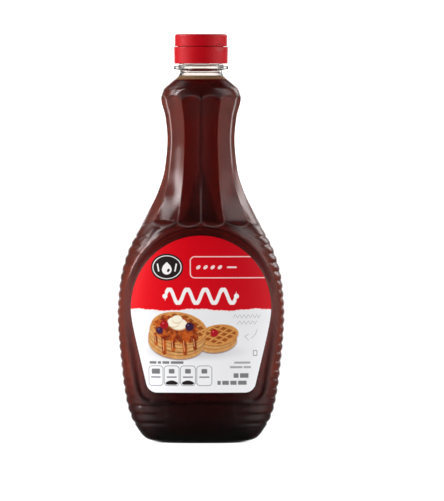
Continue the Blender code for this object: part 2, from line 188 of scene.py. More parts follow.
class Graph:
    """A node tree that is written as sums."""

    def __init__(self, tree: bpy.types.NodeTree) -> None:
        """Keep the tree."""
        self.tree = tree

    def add(self, kind: str, **settings: object) -> bpy.types.Node:
        """Add a node.

        Args:
            kind: Blender's name of the node.
            settings: The node's own properties.

        Returns:
            The node.
        """
        node = self.tree.nodes.new(kind)
        for name, value in settings.items():
            setattr(node, name, value)
        return node

    def feed(self, socket: bpy.types.NodeSocket, value: object) -> None:
        """Link a value to an input, or set the input to a constant.

        Args:
            socket: The input.
            value: A value of this tree, or a constant.
        """
        if isinstance(value, Value):
            self.tree.links.new(value.socket, socket)
        else:
            socket.default_value = value

    def math(self, operation: str, *values: "Value | float") -> Value:
        """Add one sum of one or two values.

        Args:
            operation: Blender's name of the sum.
            values: What goes into it.

        Returns:
            The result.
        """
        node = self.add("ShaderNodeMath", operation=operation)
        for socket, value in zip(node.inputs, values):
            self.feed(socket, value)
        return Value(self, node.outputs[0])

    def ease(self, low: "Value | float", high: "Value | float", value: Value) -> Value:
        """Go smoothly from 0 at low to 1 at high, which may be the smaller of the two.

        Args:
            low: Where the result is 0.
            high: Where it is 1.
            value: What is measured.

        Returns:
            The share, from 0 to 1.
        """
        node = self.add("ShaderNodeMapRange", interpolation_type="SMOOTHSTEP")
        for name, given in (("Value", value), ("From Min", low), ("From Max", high)):
            self.feed(node.inputs[name], given)
        return Value(self, node.outputs[0])

    def blend(self, share: "Value | float", first: "Value | Colour", second: "Value | Colour") -> Value:
        """Mix two colours.

        Args:
            share: How much of the second there is, from 0 to 1.
            first, second: The two colours.

        Returns:
            The colour.
        """
        node = self.add("ShaderNodeMix", data_type="RGBA")
        for socket, value in zip((node.inputs[0], node.inputs[6], node.inputs[7]), (share, first, second)):
            self.feed(socket, value)
        return Value(self, node.outputs[2])

    def split(self, place: Value) -> tuple[Value, Value, Value]:
        """Split a place into its three numbers.

        Args:
            place: The place.

        Returns:
            Its X, Y and Z.
        """
        node = self.add("ShaderNodeSeparateXYZ")
        self.feed(node.inputs[0], place)
        return tuple(Value(self, socket) for socket in node.outputs)

    def join(self, x: "Value | float", y: "Value | float", z: "Value | float") -> Value:
        """Join three numbers into a place.

        Args:
            x, y, z: The numbers.

        Returns:
            The place.
        """
        node = self.add("ShaderNodeCombineXYZ")
        for socket, value in zip(node.inputs, (x, y, z)):
            self.feed(socket, value)
        return Value(self, node.outputs[0])

    def hypotenuse(self, a: Value, b: Value) -> Value:
        """Length of the long side of a right triangle."""
        return (a * a + b * b).root()


class SurfaceGraph(Graph):
    """The tree of a material."""

    def __init__(self, name: str) -> None:
        """Start a material with a Principled shader, with Object coordinates at hand.

        Args:
            name: The material's name.
        """
        self.material = bpy.data.materials.new(name)
        self.material.use_nodes = True
        super().__init__(self.material.node_tree)
        self.shader = self.tree.nodes["Principled BSDF"]
        self.output = self.tree.nodes["Material Output"]
        self.place = Value(self, self.add("ShaderNodeTexCoord").outputs["Object"])

    def noise(self, scale: float, detail: float = 2.0, stretch: Point = (1.0, 1.0, 1.0)) -> Value:
        """Cloudy variation about 0.5.

        Args:
            scale: How many clouds to a metre.
            detail: How many finer layers are added.
            stretch: Factors on the place along X, Y and Z.

        Returns:
            The variation.
        """
        mapping = self.add("ShaderNodeMapping")
        self.feed(mapping.inputs["Vector"], self.place)
        mapping.inputs["Scale"].default_value = stretch
        node = self.add("ShaderNodeTexNoise")
        self.feed(node.inputs["Vector"], Value(self, mapping.outputs[0]))
        node.inputs["Scale"].default_value = scale
        node.inputs["Detail"].default_value = detail
        return Value(self, node.outputs[0])

    def attribute(self, name: str) -> Value:
        """A number that the mesh carries."""
        return Value(self, self.add("ShaderNodeAttribute", attribute_name=name).outputs["Fac"])

    def facing_side(self) -> Value:
        """How much the surface faces left or right, from 0 to 1."""
        normal = Value(self, self.add("ShaderNodeTexCoord").outputs["Normal"])
        return abs(self.split(normal)[0])

    def bump(self, height: Value, distance: float, strength: float = 1.0) -> None:
        """Let a height raise the surface by up to a distance in metres.

        Args:
            height: The height, from 0 to 1.
            distance: How far a height of 1 rises, in metres.
            strength: How much of it shows.
        """
        node = self.add("ShaderNodeBump")
        node.inputs["Strength"].default_value = strength
        node.inputs["Distance"].default_value = distance
        self.feed(node.inputs["Height"], height)
        self.feed(self.shader.inputs["Normal"], Value(self, node.outputs[0]))

    def set(self, **values: object) -> None:
        """Feed the shader's inputs, named with _ for each space."""
        for name, value in values.items():
            self.feed(self.shader.inputs[name.replace("_", " ")], value)


class Stamp(Graph):
    """A node group that a drawing uses again and again: numbers and colours in, one value out."""

    def __init__(self, name: str, numbers: Sequence[str], colours: Sequence[str] = ()) -> None:
        """Start the group with its named inputs.

        Args:
            name: The group's name.
            numbers: Names of the numbers it takes.
            colours: Names of the colours it takes, if it gives a colour.
        """
        super().__init__(bpy.data.node_groups.new(name, "ShaderNodeTree"))
        for label in numbers:
            self.tree.interface.new_socket(label, in_out="INPUT", socket_type="NodeSocketFloat")
        for label in colours:
            self.tree.interface.new_socket(label, in_out="INPUT", socket_type="NodeSocketColor")
        kind = "NodeSocketColor" if colours else "NodeSocketFloat"
        self.tree.interface.new_socket("Result", in_out="OUTPUT", socket_type=kind)
        self.inside = self.add("NodeGroupInput")

    def given(self, *labels: str) -> tuple[Value, ...]:
        """The values that are handed in."""
        return tuple(Value(self, self.inside.outputs[label]) for label in labels)

    def close(self, result: Value) -> None:
        """Give a value back."""
        self.feed(self.add("NodeGroupOutput").inputs[0], result)

    def use(self, graph: Graph, **values: "Value | float | Colour") -> Value:
        """Put the group into a tree, with its inputs named with _ for each space.

        Args:
            graph: The tree.
            values: The inputs.

        Returns:
            What the group gives.
        """
        node = graph.add("ShaderNodeGroup", node_tree=self.tree)
        for label, value in values.items():
            graph.feed(node.inputs[label.replace("_", " ")], value)
        return Value(graph, node.outputs[0])


class StampSet:
    """The stamps that a drawing is made of."""

    PLACE = ("X", "Y", "Centre X", "Centre Y", "Cosine", "Sine")

    def __init__(self) -> None:
        """Make the stamps."""
        self.oval = Stamp("print_oval", (*self.PLACE, "Radius X", "Radius Y"))
        x, y = self.turned(self.oval)
        wide, tall = self.oval.given("Radius X", "Radius Y")
        self.oval.close((self.oval.hypotenuse(x / wide, y / tall) - 1.0) * wide.least(tall))
        self.box = Stamp("print_box", (*self.PLACE, "Half X", "Half Y", "Corner"))
        x, y = self.turned(self.box)
        wide, tall, corner = self.box.given("Half X", "Half Y", "Corner")
        x, y = abs(x) - wide + corner, abs(y) - tall + corner
        self.box.close(self.box.hypotenuse(x.most(0.0), y.most(0.0)) + x.most(y).least(0.0) - corner)
        self.lay = Stamp("print_lay", ("Distance", "Soft", "Share"), ("Under", "Ink"))
        distance, soft, share, under, colour = self.lay.given("Distance", "Soft", "Share", "Under", "Ink")
        covered = self.lay.ease(soft, soft * -1.0, distance) * share
        self.lay.close(self.lay.blend(covered, under, colour))

    @staticmethod
    def turned(stamp: Stamp) -> tuple[Value, Value]:
        """Measure across and up from a stamp's centre, along its own axes.

        Args:
            stamp: The stamp.

        Returns:
            Both distances.
        """
        x, y, centre_x, centre_y, cosine, sine = stamp.given(*StampSet.PLACE)
        x, y = x - centre_x, y - centre_y
        return x * cosine + y * sine, y * cosine - x * sine


class Print(SurfaceGraph):
    """A drawing on a label, in millimetres, painted shape by shape with the last on top.

    Across is measured from the label's middle and up from its bottom edge, both on the flat sheet.
    """

    SOFT = 0.10

    def __init__(self, name: str, paper: Colour, stamps: StampSet) -> None:
        """Start with bare paper.

        Args:
            name: The material's name.
            paper: The paper's colour.
            stamps: What the shapes are drawn with.
        """
        super().__init__(name)
        uv = Value(self, self.add("ShaderNodeUVMap", uv_map=Label.UV_NAME).outputs[0])
        u, v, _ = self.split(uv)
        self.x = (u - 0.5) * (Label.UV_SPAN / MM)
        self.y = v * (Label.UV_SPAN / MM)
        self.colour: Value | Colour = paper
        self.stamps = stamps

    def place_of(self, centre: Pair, turn: float) -> dict[str, "Value | float"]:
        """A stamp's inputs for where it goes, turned by degrees."""
        angle = math.radians(turn)
        return {
            "X": self.x, "Y": self.y, "Centre_X": centre[0], "Centre_Y": centre[1],
            "Cosine": math.cos(angle), "Sine": math.sin(angle),
        }

    def local(self, centre: Pair, turn: float = 0.0) -> tuple[Value, Value]:
        """Measure across and up from a centre.

        Args:
            centre: The centre.
            turn: How far the axes are turned, in degrees.

        Returns:
            Both distances.
        """
        x, y = self.x - centre[0], self.y - centre[1]
        c, s = math.cos(math.radians(turn)), math.sin(math.radians(turn))
        return x * c + y * s, y * c - x * s

    def oval(self, centre: Pair, radii: Pair, turn: float = 0.0) -> Value:
        """Distance to an oval, below 0 inside it."""
        return self.stamps.oval.use(self, Radius_X=radii[0], Radius_Y=radii[1], **self.place_of(centre, turn))

    def box(
        self, centre: Pair, half: Pair, corner: float = 0.0, turn: float = 0.0
    ) -> Value:
        """Distance to a box with round corners, below 0 inside it."""
        place = self.place_of(centre, turn)
        return self.stamps.box.use(self, Half_X=half[0], Half_Y=half[1], Corner=corner, **place)

    def stroke(self, start: Pair, end: Pair, width: float) -> Value:
        """Measure to a straight stroke with round ends.

        Args:
            start, end: The middles of its round ends.
            width: How wide it is.

        Returns:
            The distance, below 0 inside it.
        """
        run = (end[0] - start[0], end[1] - start[1])
        length = math.hypot(*run)
        centre = (0.5 * (start[0] + end[0]), 0.5 * (start[1] + end[1]))
        half = 0.5 * width
        return self.box(centre, (0.5 * length + half, half), half, math.degrees(math.atan2(run[1], run[0])))

    def wave(
        self, centre: Pair, half_length: float, rise: float, pitch: float, width: float
    ) -> Value:
        """Measure to a wavy stroke of even width.

        Args:
            centre: Its middle.
            half_length: How far it runs to either side.
            rise: How far it swings up and down.
            pitch: The length of one wave.
            width: How wide it is.

        Returns:
            The distance, below 0 inside it.
        """
        x, y = self.x - centre[0], self.y - centre[1]
        rate = TURN / pitch
        slope = (x * rate).cosine() * (rise * rate)
        off = abs(y - (x * rate).sine() * rise) / (slope * slope + 1.0).root() - 0.5 * width
        return off.most(abs(x) - half_length)

    def outline(self, distance: Value, width: float) -> Value:
        """Distance to a line along the edge of a shape."""
        return abs(distance) - 0.5 * width

    def lay(self, distance: Value, colour: "Value | Colour", share: float = 1.0, soft: float = SOFT) -> None:
        """Paint a shape, with a soft edge, over what is there."""
        self.colour = self.stamps.lay.use(
            self, Distance=distance, Soft=soft, Share=share, Under=self.colour, Ink=colour
        )


class GeometryTree(Graph):
    """A Geometry Nodes tree with named sizes, which ends in realized, painted geometry."""

    def __init__(self, name: str, sizes: dict[str, float]) -> None:
        """Start the tree.

        Args:
            name: The tree's name.
            sizes: Its inputs by name, with their values.
        """
        super().__init__(bpy.data.node_groups.new(name, "GeometryNodeTree"))
        face = self.tree.interface
        face.new_socket("Geometry", in_out="INPUT", socket_type="NodeSocketGeometry")
        face.new_socket("Geometry", in_out="OUTPUT", socket_type="NodeSocketGeometry")
        self.sizes = sizes
        self.ids = {
            label: face.new_socket(label, in_out="INPUT", socket_type="NodeSocketFloat").identifier
            for label in sizes
        }
        finish = face.new_socket("Finish", in_out="INPUT", socket_type="NodeSocketMaterial")
        self.finish_id = finish.identifier
        self.inside = self.add("NodeGroupInput")
        self.geometry = Value(self, self.inside.outputs["Geometry"])

    def size(self, label: str) -> Value:
        """A named size."""
        return Value(self, self.inside.outputs[label])

    def attribute(self, name: str) -> Value:
        """Read a number that each point of the mesh carries.

        Args:
            name: The attribute's name.

        Returns:
            The number.
        """
        node = self.add("GeometryNodeInputNamedAttribute", data_type="FLOAT")
        node.inputs["Name"].default_value = name
        return Value(self, node.outputs["Attribute"])

    def position(self) -> Value:
        """Where each point is."""
        return Value(self, self.add("GeometryNodeInputPosition").outputs[0])

    def store(self, name: str, value: Value) -> None:
        """Keep a number with each point of the mesh.

        Args:
            name: The attribute's name.
            value: The number.
        """
        node = self.add("GeometryNodeStoreNamedAttribute", data_type="FLOAT", domain="POINT")
        self.feed(node.inputs["Geometry"], self.geometry)
        self.feed(node.inputs["Name"], name)
        self.feed(node.inputs["Value"], value)
        self.geometry = Value(self, node.outputs[0])

    def close(self) -> None:
        """End the tree: realize, paint and give back the geometry."""
        for kind in ("GeometryNodeRealizeInstances", "GeometryNodeSetMaterial"):
            node = self.add(kind)
            self.feed(node.inputs["Geometry"], self.geometry)
            self.geometry = Value(self, node.outputs[0])
        self.feed(node.inputs["Material"], Value(self, self.inside.outputs["Finish"]))
        self.feed(self.add("NodeGroupOutput").inputs[0], self.geometry)

    def shape(self, part: bpy.types.Object, material: bpy.types.Material) -> bpy.types.Object:
        """Run the tree on a part and keep the result as its plain mesh.

        Args:
            part: The object.
            material: What the tree paints it with.

        Returns:
            The same object.
        """
        modifier = part.modifiers.new(self.tree.name, "NODES")
        modifier.node_group = self.tree
        for label, value in self.sizes.items():
            modifier[self.ids[label]] = float(value)
        modifier[self.finish_id] = material
        depsgraph = bpy.context.evaluated_depsgraph_get()
        mesh = bpy.data.meshes.new_from_object(part.evaluated_get(depsgraph), depsgraph=depsgraph)
        part.modifiers.clear()
        part.data = mesh
        return part


def named(prefix: str, sizes: object, *names: str) -> dict[str, float]:
    """A tree's inputs, such as Rib Pitch, from the sizes of one form, such as pitch.

    Args:
        prefix: What the inputs' names start with.
        sizes: The form.
        names: Which of its sizes the tree takes.

    Returns:
        The values by the inputs' names.
    """
    return {f"{prefix} {name.replace('_', ' ').title()}": getattr(sizes, name) for name in names}


@dataclass(frozen=True)
class Profile:
    """A smooth curve of a value against height through named stations, without overshoot."""

    stations: tuple[Pair, ...]

    def at(self, height: np.ndarray) -> np.ndarray:
        """Read the curve.

        Args:
            height: The heights.

        Returns:
            The values, held level past both ends.
        """
        heights, values = (np.array(row) for row in zip(*self.stations))
        steps = np.diff(values) / np.diff(heights)
        before, after = steps[:-1], steps[1:]
        turning = before * after <= 0.0
        total = np.where(turning, 1.0, before + after)
        inner = np.where(turning, 0.0, 2.0 * before * after / total)
        slopes = np.concatenate(([steps[0]], inner, [steps[-1]]))
        clipped = np.clip(height, heights[0], heights[-1])
        i = np.clip(np.searchsorted(heights, clipped, side="right") - 1, 0, len(steps) - 1)
        span = heights[i + 1] - heights[i]
        t = (clipped - heights[i]) / span
        start = values[i] * (1.0 + 2.0 * t) + slopes[i] * span * t
        end = values[i + 1] * (3.0 - 2.0 * t) - slopes[i + 1] * span * (1.0 - t)
        return start * (1.0 - t) ** 2 + end * t ** 2


def eased(low: float, high: float, value: np.ndarray) -> np.ndarray:
    """Go smoothly from 0 at low to 1 at high."""
    t = np.clip((value - low) / (high - low), 0.0, 1.0)
    return t * t * (3.0 - 2.0 * t)


@dataclass(frozen=True)
class Arch:
    """An outline that is flat at the bottom, tapers out to its widest height and closes in an arch."""

    half_width: float
    arch_rise: float
    bottom: float
    corner: float
    taper: float
    widest: float = 0.0809
    ease: float = 0.008

    def side(self, height: np.ndarray) -> np.ndarray:
        """Half-width below the widest height."""
        drop = np.maximum(self.widest - height, 0.0)
        return self.half_width - self.taper * (np.hypot(drop, self.ease) - self.ease)

    def distance(self, across: np.ndarray, height: np.ndarray) -> np.ndarray:
        """Measure to the outline as seen from the front.

        Args:
            across: Distances to the right of the middle.
            height: Heights above the table.

        Returns:
            The distances, below 0 inside it.
        """
        x = np.abs(across)
        drop = np.maximum(self.widest - height, 0.0)
        lean = self.taper * drop / np.hypot(drop, self.ease)
        out = (x - self.side(height)) / np.hypot(1.0, lean) + self.corner
        below = self.bottom + self.corner - height
        outer = np.hypot(np.maximum(out, 0.0), np.maximum(below, 0.0))
        lower = outer + np.minimum(np.maximum(out, below), 0.0) - self.corner
        rise = np.maximum(height - self.widest, 0.0)
        reach = np.maximum(np.hypot(x / self.half_width, rise / self.arch_rise), 0.05)
        steep = np.hypot(x / self.half_width ** 2, rise / self.arch_rise ** 2) / reach
        upper = (reach - 1.0) / np.maximum(steep, 1.0)
        return np.where(height > self.widest, upper, lower)

    def rows(self, corner_steps: int, side_steps: int, arch_steps: int) -> list[Pair]:
        """Cut the outline into level rows.

        Args:
            corner_steps: Rows along the lower corners.
            side_steps: Rows along the sides.
            arch_steps: Rows along the arch.

        Returns:
            Each row's height and half-width, from the bottom up.
        """
        rows = []
        for turn in np.linspace(0.0, 0.5 * math.pi, corner_steps, endpoint=False):
            height = self.bottom + self.corner * (1.0 - math.cos(turn))
            rows.append((height, float(self.side(height)) - self.corner * (1.0 - math.sin(turn))))
        for height in np.linspace(self.bottom + self.corner, self.widest, side_steps, endpoint=False):
            rows.append((height, float(self.side(height))))
        for turn in np.linspace(0.0, 0.5 * math.pi, arch_steps):
            rows.append((self.widest + self.arch_rise * math.sin(turn), self.half_width * math.cos(turn)))
        return rows


@dataclass(frozen=True)
class Flutes:
    """Pressed panels round the neck, between sharp ridges."""

    count: int = 12
    bottom: float = 0.1298
    top: float = 0.2083
    bottom_arch: float = 0.0040
    top_arch: float = 0.0036
    hollow: float = 0.0003
    edge: float = 0.0010
    shallow_end: float = 0.30
    shallow_run: float = 0.020
    bead: float = 0.00016
    bead_width: float = 0.0007


@dataclass(frozen=True)
class Ribs:
    """Grip ribs down both edges of the body."""

    pitch: float = 0.00534
    middle: float = 0.0785
    below: int = 12
    above: int = 8
    relief: float = 0.0007
    panel_gap: float = 0.0022
    ease: float = 0.0024
    side_start: float = 0.74
    side_full: float = 0.97
    front_top: float = 0.0235
    front_start: float = 0.0195
    front_relief: float = 0.0007

    @property
    def lowest(self) -> float:
        """Height of the lowest groove."""
        return self.middle - (self.below + 0.5) * self.pitch

    @property
    def highest(self) -> float:
        """Height of the highest groove."""
        return self.middle + (self.above + 0.5) * self.pitch


@dataclass(frozen=True)
class Recess:
    """The sunk label panel's edge: a soft slope inside a low raised rim."""

    depth: float = 0.0012
    slope_inside: float = 0.0012
    slope_outside: float = 0.0018
    rim: float = 0.00022
    rim_place: float = 0.0029
    rim_width: float = 0.0011


def oval_radius(angle: np.ndarray, width: np.ndarray, depth: np.ndarray, exponent: np.ndarray) -> np.ndarray:
    """Distance from the middle of an oval to its edge.

    Args:
        angle: Angle from the front.
        width, depth: The oval's half-width and half-depth.
        exponent: How square it is: 2 for an ellipse, and more for squarer ones.

    Returns:
        The distance at each angle.
    """
    across, along = np.abs(np.sin(angle)) / width, np.abs(np.cos(angle)) / depth
    return (across ** exponent + along ** exponent) ** (-1.0 / exponent)


@dataclass(frozen=True)
class BottleForm:
    """The smooth oval form that the flutes, ribs and panels are pressed into."""

    half_width: Profile = Profile((
        (0.0000, 0.0270), (0.0024, 0.0333), (0.0055, 0.0364), (0.0100, 0.0394), (0.0136, 0.0416),
        (0.0230, 0.0447), (0.0430, 0.0478), (0.0780, 0.0504), (0.0970, 0.0489), (0.1150, 0.0441),
        (0.1330, 0.0344), (0.1510, 0.0254), (0.1650, 0.0215), (0.1820, 0.02005), (0.1950, 0.0212),
        (0.2065, 0.0238), (0.2115, 0.0226), (0.2160, 0.0182), (0.2200, 0.0135), (0.2220, 0.01263),
        (0.2238, 0.01263),
    ))
    half_depth: Profile = Profile((
        (0.0000, 0.0180), (0.0024, 0.0236), (0.0055, 0.0264), (0.0136, 0.0299), (0.0230, 0.0314),
        (0.0400, 0.0323), (0.1000, 0.0323), (0.1180, 0.0317), (0.1280, 0.0298), (0.1340, 0.0258),
        (0.1450, 0.0231), (0.1600, 0.0214), (0.1820, 0.02005),
    ))
    round_height: float = 0.1820
    body_roundness: float = 2.4
    neck_roundness: float = 2.0
    roundness_change: Pair = (0.120, 0.150)
    panel: Arch = Arch(0.0450, 0.0468, 0.0256, 0.0070, 0.175)

    def section(self, height: np.ndarray, inset: "float | np.ndarray") -> tuple[np.ndarray, np.ndarray, np.ndarray]:
        """Find the oval at each height.

        Args:
            height: The heights.
            inset: How far inside the form the oval lies.

        Returns:
            Half-width, half-depth and exponent of each oval.
        """
        width = self.half_width.at(height)
        depth = np.where(height >= self.round_height, width, np.minimum(self.half_depth.at(height), width))
        share = eased(*self.roundness_change, height)
        exponent = self.body_roundness + (self.neck_roundness - self.body_roundness) * share
        return width - inset, depth - inset, exponent

    def radius(self, angle: np.ndarray, height: np.ndarray, inset: "float | np.ndarray" = 0.0) -> np.ndarray:
        """Distance from the axis at an angle from the front."""
        return oval_radius(angle, *self.section(height, inset))

    def face(self, across: np.ndarray, height: np.ndarray, inset: float, lift: float) -> np.ndarray:
        """Find places on the front face.

        Args:
            across: Distances to the right of the middle.
            height: Their heights.
            inset: How far inside the form the face lies.
            lift: How far the places are lifted off it.

        Returns:
            The places.
        """
        width, depth, exponent = self.section(height, inset)
        x = np.abs(across)
        share = np.clip((x / width) ** exponent, 0.0, 0.9999)
        front = depth * (1.0 - share) ** (1.0 / exponent)
        fall = depth * (1.0 - share) ** (1.0 / exponent - 1.0) * share / np.maximum(x, HIDDEN_EDGE)
        size = np.hypot(fall, 1.0)
        lifted_x = across + lift * np.sign(across) * fall / size
        return np.stack((lifted_x, -front - lift / size, np.broadcast_to(height, x.shape)), axis=-1)


def surface(
    name: str, rings: np.ndarray, attributes: dict[str, np.ndarray], poles: Sequence[Point] = ()
) -> bpy.types.Object:
    """Join rings of points into a closed skin.

    Args:
        name: The object's name.
        rings: Points by ring and place round it.
        attributes: Numbers by ring and place, which each point carries.
        poles: The points that close the first and the last ring, or none where the last ring joins the first.

    Returns:
        The object, with its faces pointing out.
    """
    count, columns = rings.shape[:2]
    points = [*rings.reshape(-1, 3).tolist(), *poles]
    index = np.arange(count * columns).reshape(count, columns)
    after = np.roll(index, -1, axis=1)
    faces = np.stack((index[:-1], after[:-1], after[1:], index[1:]), axis=-1).reshape(-1, 4).tolist()
    if poles:
        first, last = count * columns, count * columns + 1
        faces += [(first, b, a) for a, b in zip(index[0].tolist(), after[0].tolist())]
        faces += [(last, a, b) for a, b in zip(index[-1].tolist(), after[-1].tolist())]
    else:
        faces += np.stack((index[-1], after[-1], after[0], index[0]), axis=-1).tolist()
    mesh = bpy.data.meshes.new(name)
    mesh.from_pydata(points, [], faces)
    for label, values in attributes.items():
        data = np.concatenate((values.reshape(-1), np.zeros(len(poles)))).astype(np.float32)
        mesh.attributes.new(label, "FLOAT", "POINT").data.foreach_set("value", data)
    return placed(name, mesh)


def face_out(part: bpy.types.Object) -> None:
    """Turn a closed mesh's faces outwards and shade it smooth.

    Args:
        part: The object.
    """
    builder = bmesh.new()
    builder.from_mesh(part.data)
    bmesh.ops.recalc_face_normals(builder, faces=builder.faces)
    builder.to_mesh(part.data)
    builder.free()
    part.data.shade_smooth()


def polar(radius: np.ndarray, angle: np.ndarray, height: np.ndarray) -> np.ndarray:
    """Places from their distance to the axis, angle from the front and height."""
    return np.stack((radius * np.sin(angle), -radius * np.cos(angle), height + 0.0 * angle), axis=-1)


@dataclass(frozen=True)
class ClearPlastic:
    """Clear blow-moulded plastic: glossy, faintly wavy, with a hint of grey, and a painted pale pink highlight along
    the flutes' creases.
    """

    tint: Colour = (0.965, 0.97, 0.965, 1.0)
    headspace: Colour = (0.885, 0.845, 0.81, 1.0)
    cloudy: Colour = (0.90, 0.91, 0.905, 1.0)
    crease_highlight: Colour = (1.0, 0.62, 0.58, 1.0)
    headspace_start: Pair = (0.2165, 0.2185)
    roughness: float = 0.065
    index: float = 1.38
    waves: float = 0.00003
    crease_highlight_share: float = 0.12

    def material(self) -> bpy.types.Material:
        """Make the material.

        Returns:
            The material.
        """
        graph = SurfaceGraph("clear_plastic")
        cloud = graph.noise(60.0)
        fine = graph.noise(900.0, 1.0)
        crease_highlight = graph.attribute("crease_highlight")
        _, _, height = graph.split(graph.place)
        clear = graph.blend(cloud, self.tint, self.cloudy)
        clear = graph.blend(graph.ease(*self.headspace_start, height), clear, self.headspace)
        # Painted highlight: along the creases the plastic turns pale pink and less clear, in place of the light lines
        # they would catch.
        graph.set(
            Base_Color=graph.blend(crease_highlight, clear, self.crease_highlight),
            Roughness=cloud * 0.02 + self.roughness - 0.01,
            IOR=self.index,
            Transmission_Weight=1.0 - crease_highlight * self.crease_highlight_share,
        )
        graph.bump(cloud + fine * 0.03, self.waves)
        return graph.material

    def wetted(self) -> bpy.types.Material:
        """Make the wall's inner face under syrup vanish, because both pass light alike.

        Returns:
            The material.
        """
        graph = SurfaceGraph("wetted_plastic")
        cloud = graph.noise(60.0)
        graph.set(
            Base_Color=graph.blend(cloud, grey(1.0), grey(0.985)),
            Roughness=0.0,
            IOR=1.0,
            Transmission_Weight=1.0,
        )
        return graph.material


@dataclass(frozen=True)
class DarkSyrup:
    """Dark pancake syrup: it passes red light a long way and little else."""

    tint: Colour = (1.0, 0.075, 0.05, 1.0)
    deep_tint: Colour = (0.90, 0.06, 0.045, 1.0)
    side_painted_light_tint: Colour = (1.0, 0.14, 0.06, 1.0)
    diffuse_share: float = 0.06
    neck_murk: float = 0.056
    side_painted_light: float = 0.12
    painted_band_light: float = 0.09
    wedge_top: float = 0.168
    wedge_run: float = 0.045
    wedge_spread: float = 0.30
    ridge_width: float = 0.0013
    shaded_neck: float = 0.60
    rim_line: float = 0.0016
    shaded_band: float = 0.75
    passed: Colour = (0.66, 0.20, 0.05, 1.0)
    density: float = 330.0
    index: float = 1.06
    froth: Colour = ink(204, 166, 126)
    froth_bottom: float = 0.2175
    froth_cover: float = 0.8

    def material(self) -> bpy.types.Material:
        """Make the material, with its volume.

        Returns:
            The material.
        """
        graph = SurfaceGraph("dark_syrup")
        cloud = graph.noise(45.0, 1.0)
        across, _, height = graph.split(graph.place)
        # Painted light: where the surface faces the sides, the syrup turns paler and more orange.
        edge = graph.ease(0.30, 0.90, graph.facing_side()) * graph.ease(0.0, 0.055, height)
        # Diffuse share, with painted light in the panel's band and at the sides, and painted shade in the valley, on
        # the dark line and under the front flutes.
        diffuse_share = self.neck_haze_and_shade(graph, across, height) + self.band_painted_light(graph, height)
        diffuse_share = diffuse_share * (1.0 - self.band_shade(graph, height) * self.shaded_band) + edge * self.side_painted_light
        froth = graph.ease(self.froth_bottom - 0.0003, self.froth_bottom + 0.0003, height + (cloud - 0.5) * 0.0012)
        clear = graph.blend(edge, graph.blend(cloud, self.tint, self.deep_tint), self.side_painted_light_tint)
        graph.set(
            Base_Color=graph.blend(froth, clear, self.froth),
            Roughness=cloud * 0.02 + froth * 0.3,
            IOR=self.index,
            Transmission_Weight=(1.0 - diffuse_share) * (1.0 - froth * self.froth_cover),
        )
        volume = graph.add("ShaderNodeVolumeAbsorption")
        volume.inputs["Color"].default_value = self.passed
        volume.inputs["Density"].default_value = self.density
        graph.tree.links.new(volume.outputs[0], graph.output.inputs["Volume"])
        return graph.material

    def neck_haze_and_shade(self, graph: SurfaceGraph, across: Value, height: Value) -> Value:
        """Work out how pale the syrup is under the flutes, with painted shade: a dark wedge and a dark ridge line in
        front.

        Args:
            graph: The material's tree.
            across: Distance to the right of the middle.
            height: Height above the table.

        Returns:
            The share of diffuse light.
        """
        # Painted shade: a dark wedge below the front flutes and a dark line along the front ridge.
        spread = (self.wedge_top - height).least(self.wedge_run) * self.wedge_spread
        wedge_shade = graph.ease(-0.0015, 0.0015, spread - abs(across)) * graph.ease(0.09, 0.12, height)
        ridge = graph.ease(self.ridge_width, 0.0006, abs(across)) * graph.ease(0.2100, 0.2080, height)
        diffuse_share = graph.attribute("fluted") * self.neck_murk + graph.ease(0.0, 0.05, height) * self.diffuse_share
        return diffuse_share * (1.0 - wedge_shade.most(ridge) * self.shaded_neck)

    def band_painted_light(self, graph: SurfaceGraph, height: Value) -> Value:
        """Work out the painted light along the edge of the label's panel, a paler band of syrup.

        Args:
            graph: The material's tree.
            height: Height above the table.

        Returns:
            The share of diffuse light.
        """
        off = graph.attribute("panel_distance")
        # Painted light: a paler band along the panel's edge.
        band = graph.ease(-0.0050, -0.0010, off) * graph.ease(0.0060, 0.0036, off)
        return band * graph.ease(0.020, 0.050, height) * self.painted_band_light

    def band_shade(self, graph: SurfaceGraph, height: Value) -> Value:
        """Find the dark valley and the dark line outside the panel's edge.

        Args:
            graph: The material's tree.
            height: Height above the table.

        Returns:
            How far each point lies in them, from 0 to 1.
        """
        off = graph.attribute("panel_distance")
        valley = graph.ease(-0.0006, 0.0008, off) * graph.ease(0.0036, 0.0022, off) * graph.ease(0.080, 0.055, height)
        return valley.most(graph.ease(0.0007, 0.0, abs(off - self.rim_line)))


@dataclass(frozen=True)
class CapPlastic:
    """Moulded red plastic with a satin face."""

    red: Colour = ink(196, 4, 20)
    pale: Colour = ink(206, 12, 30)
    roughness: float = 0.34
    index: float = 1.40
    grain: float = 0.00002

    def material(self) -> bpy.types.Material:
        """Make the material.

        Returns:
            The material.
        """
        graph = SurfaceGraph("cap_plastic")
        cloud = graph.noise(140.0, 3.0)
        grain = graph.noise(5200.0, 1.0)
        graph.set(
            Base_Color=graph.blend(cloud, self.red, self.pale),
            Roughness=cloud * 0.10 + self.roughness - 0.05,
            IOR=self.index,
            Subsurface_Weight=0.06,
            Subsurface_Scale=0.002,
            Subsurface_Radius=(1.0, 0.15, 0.1),
        )
        graph.bump(grain, self.grain)
        return graph.material


class Side(Enum):
    """Which of the two panels a label is on."""

    FRONT = "front_label"
    BACK = "back_label"


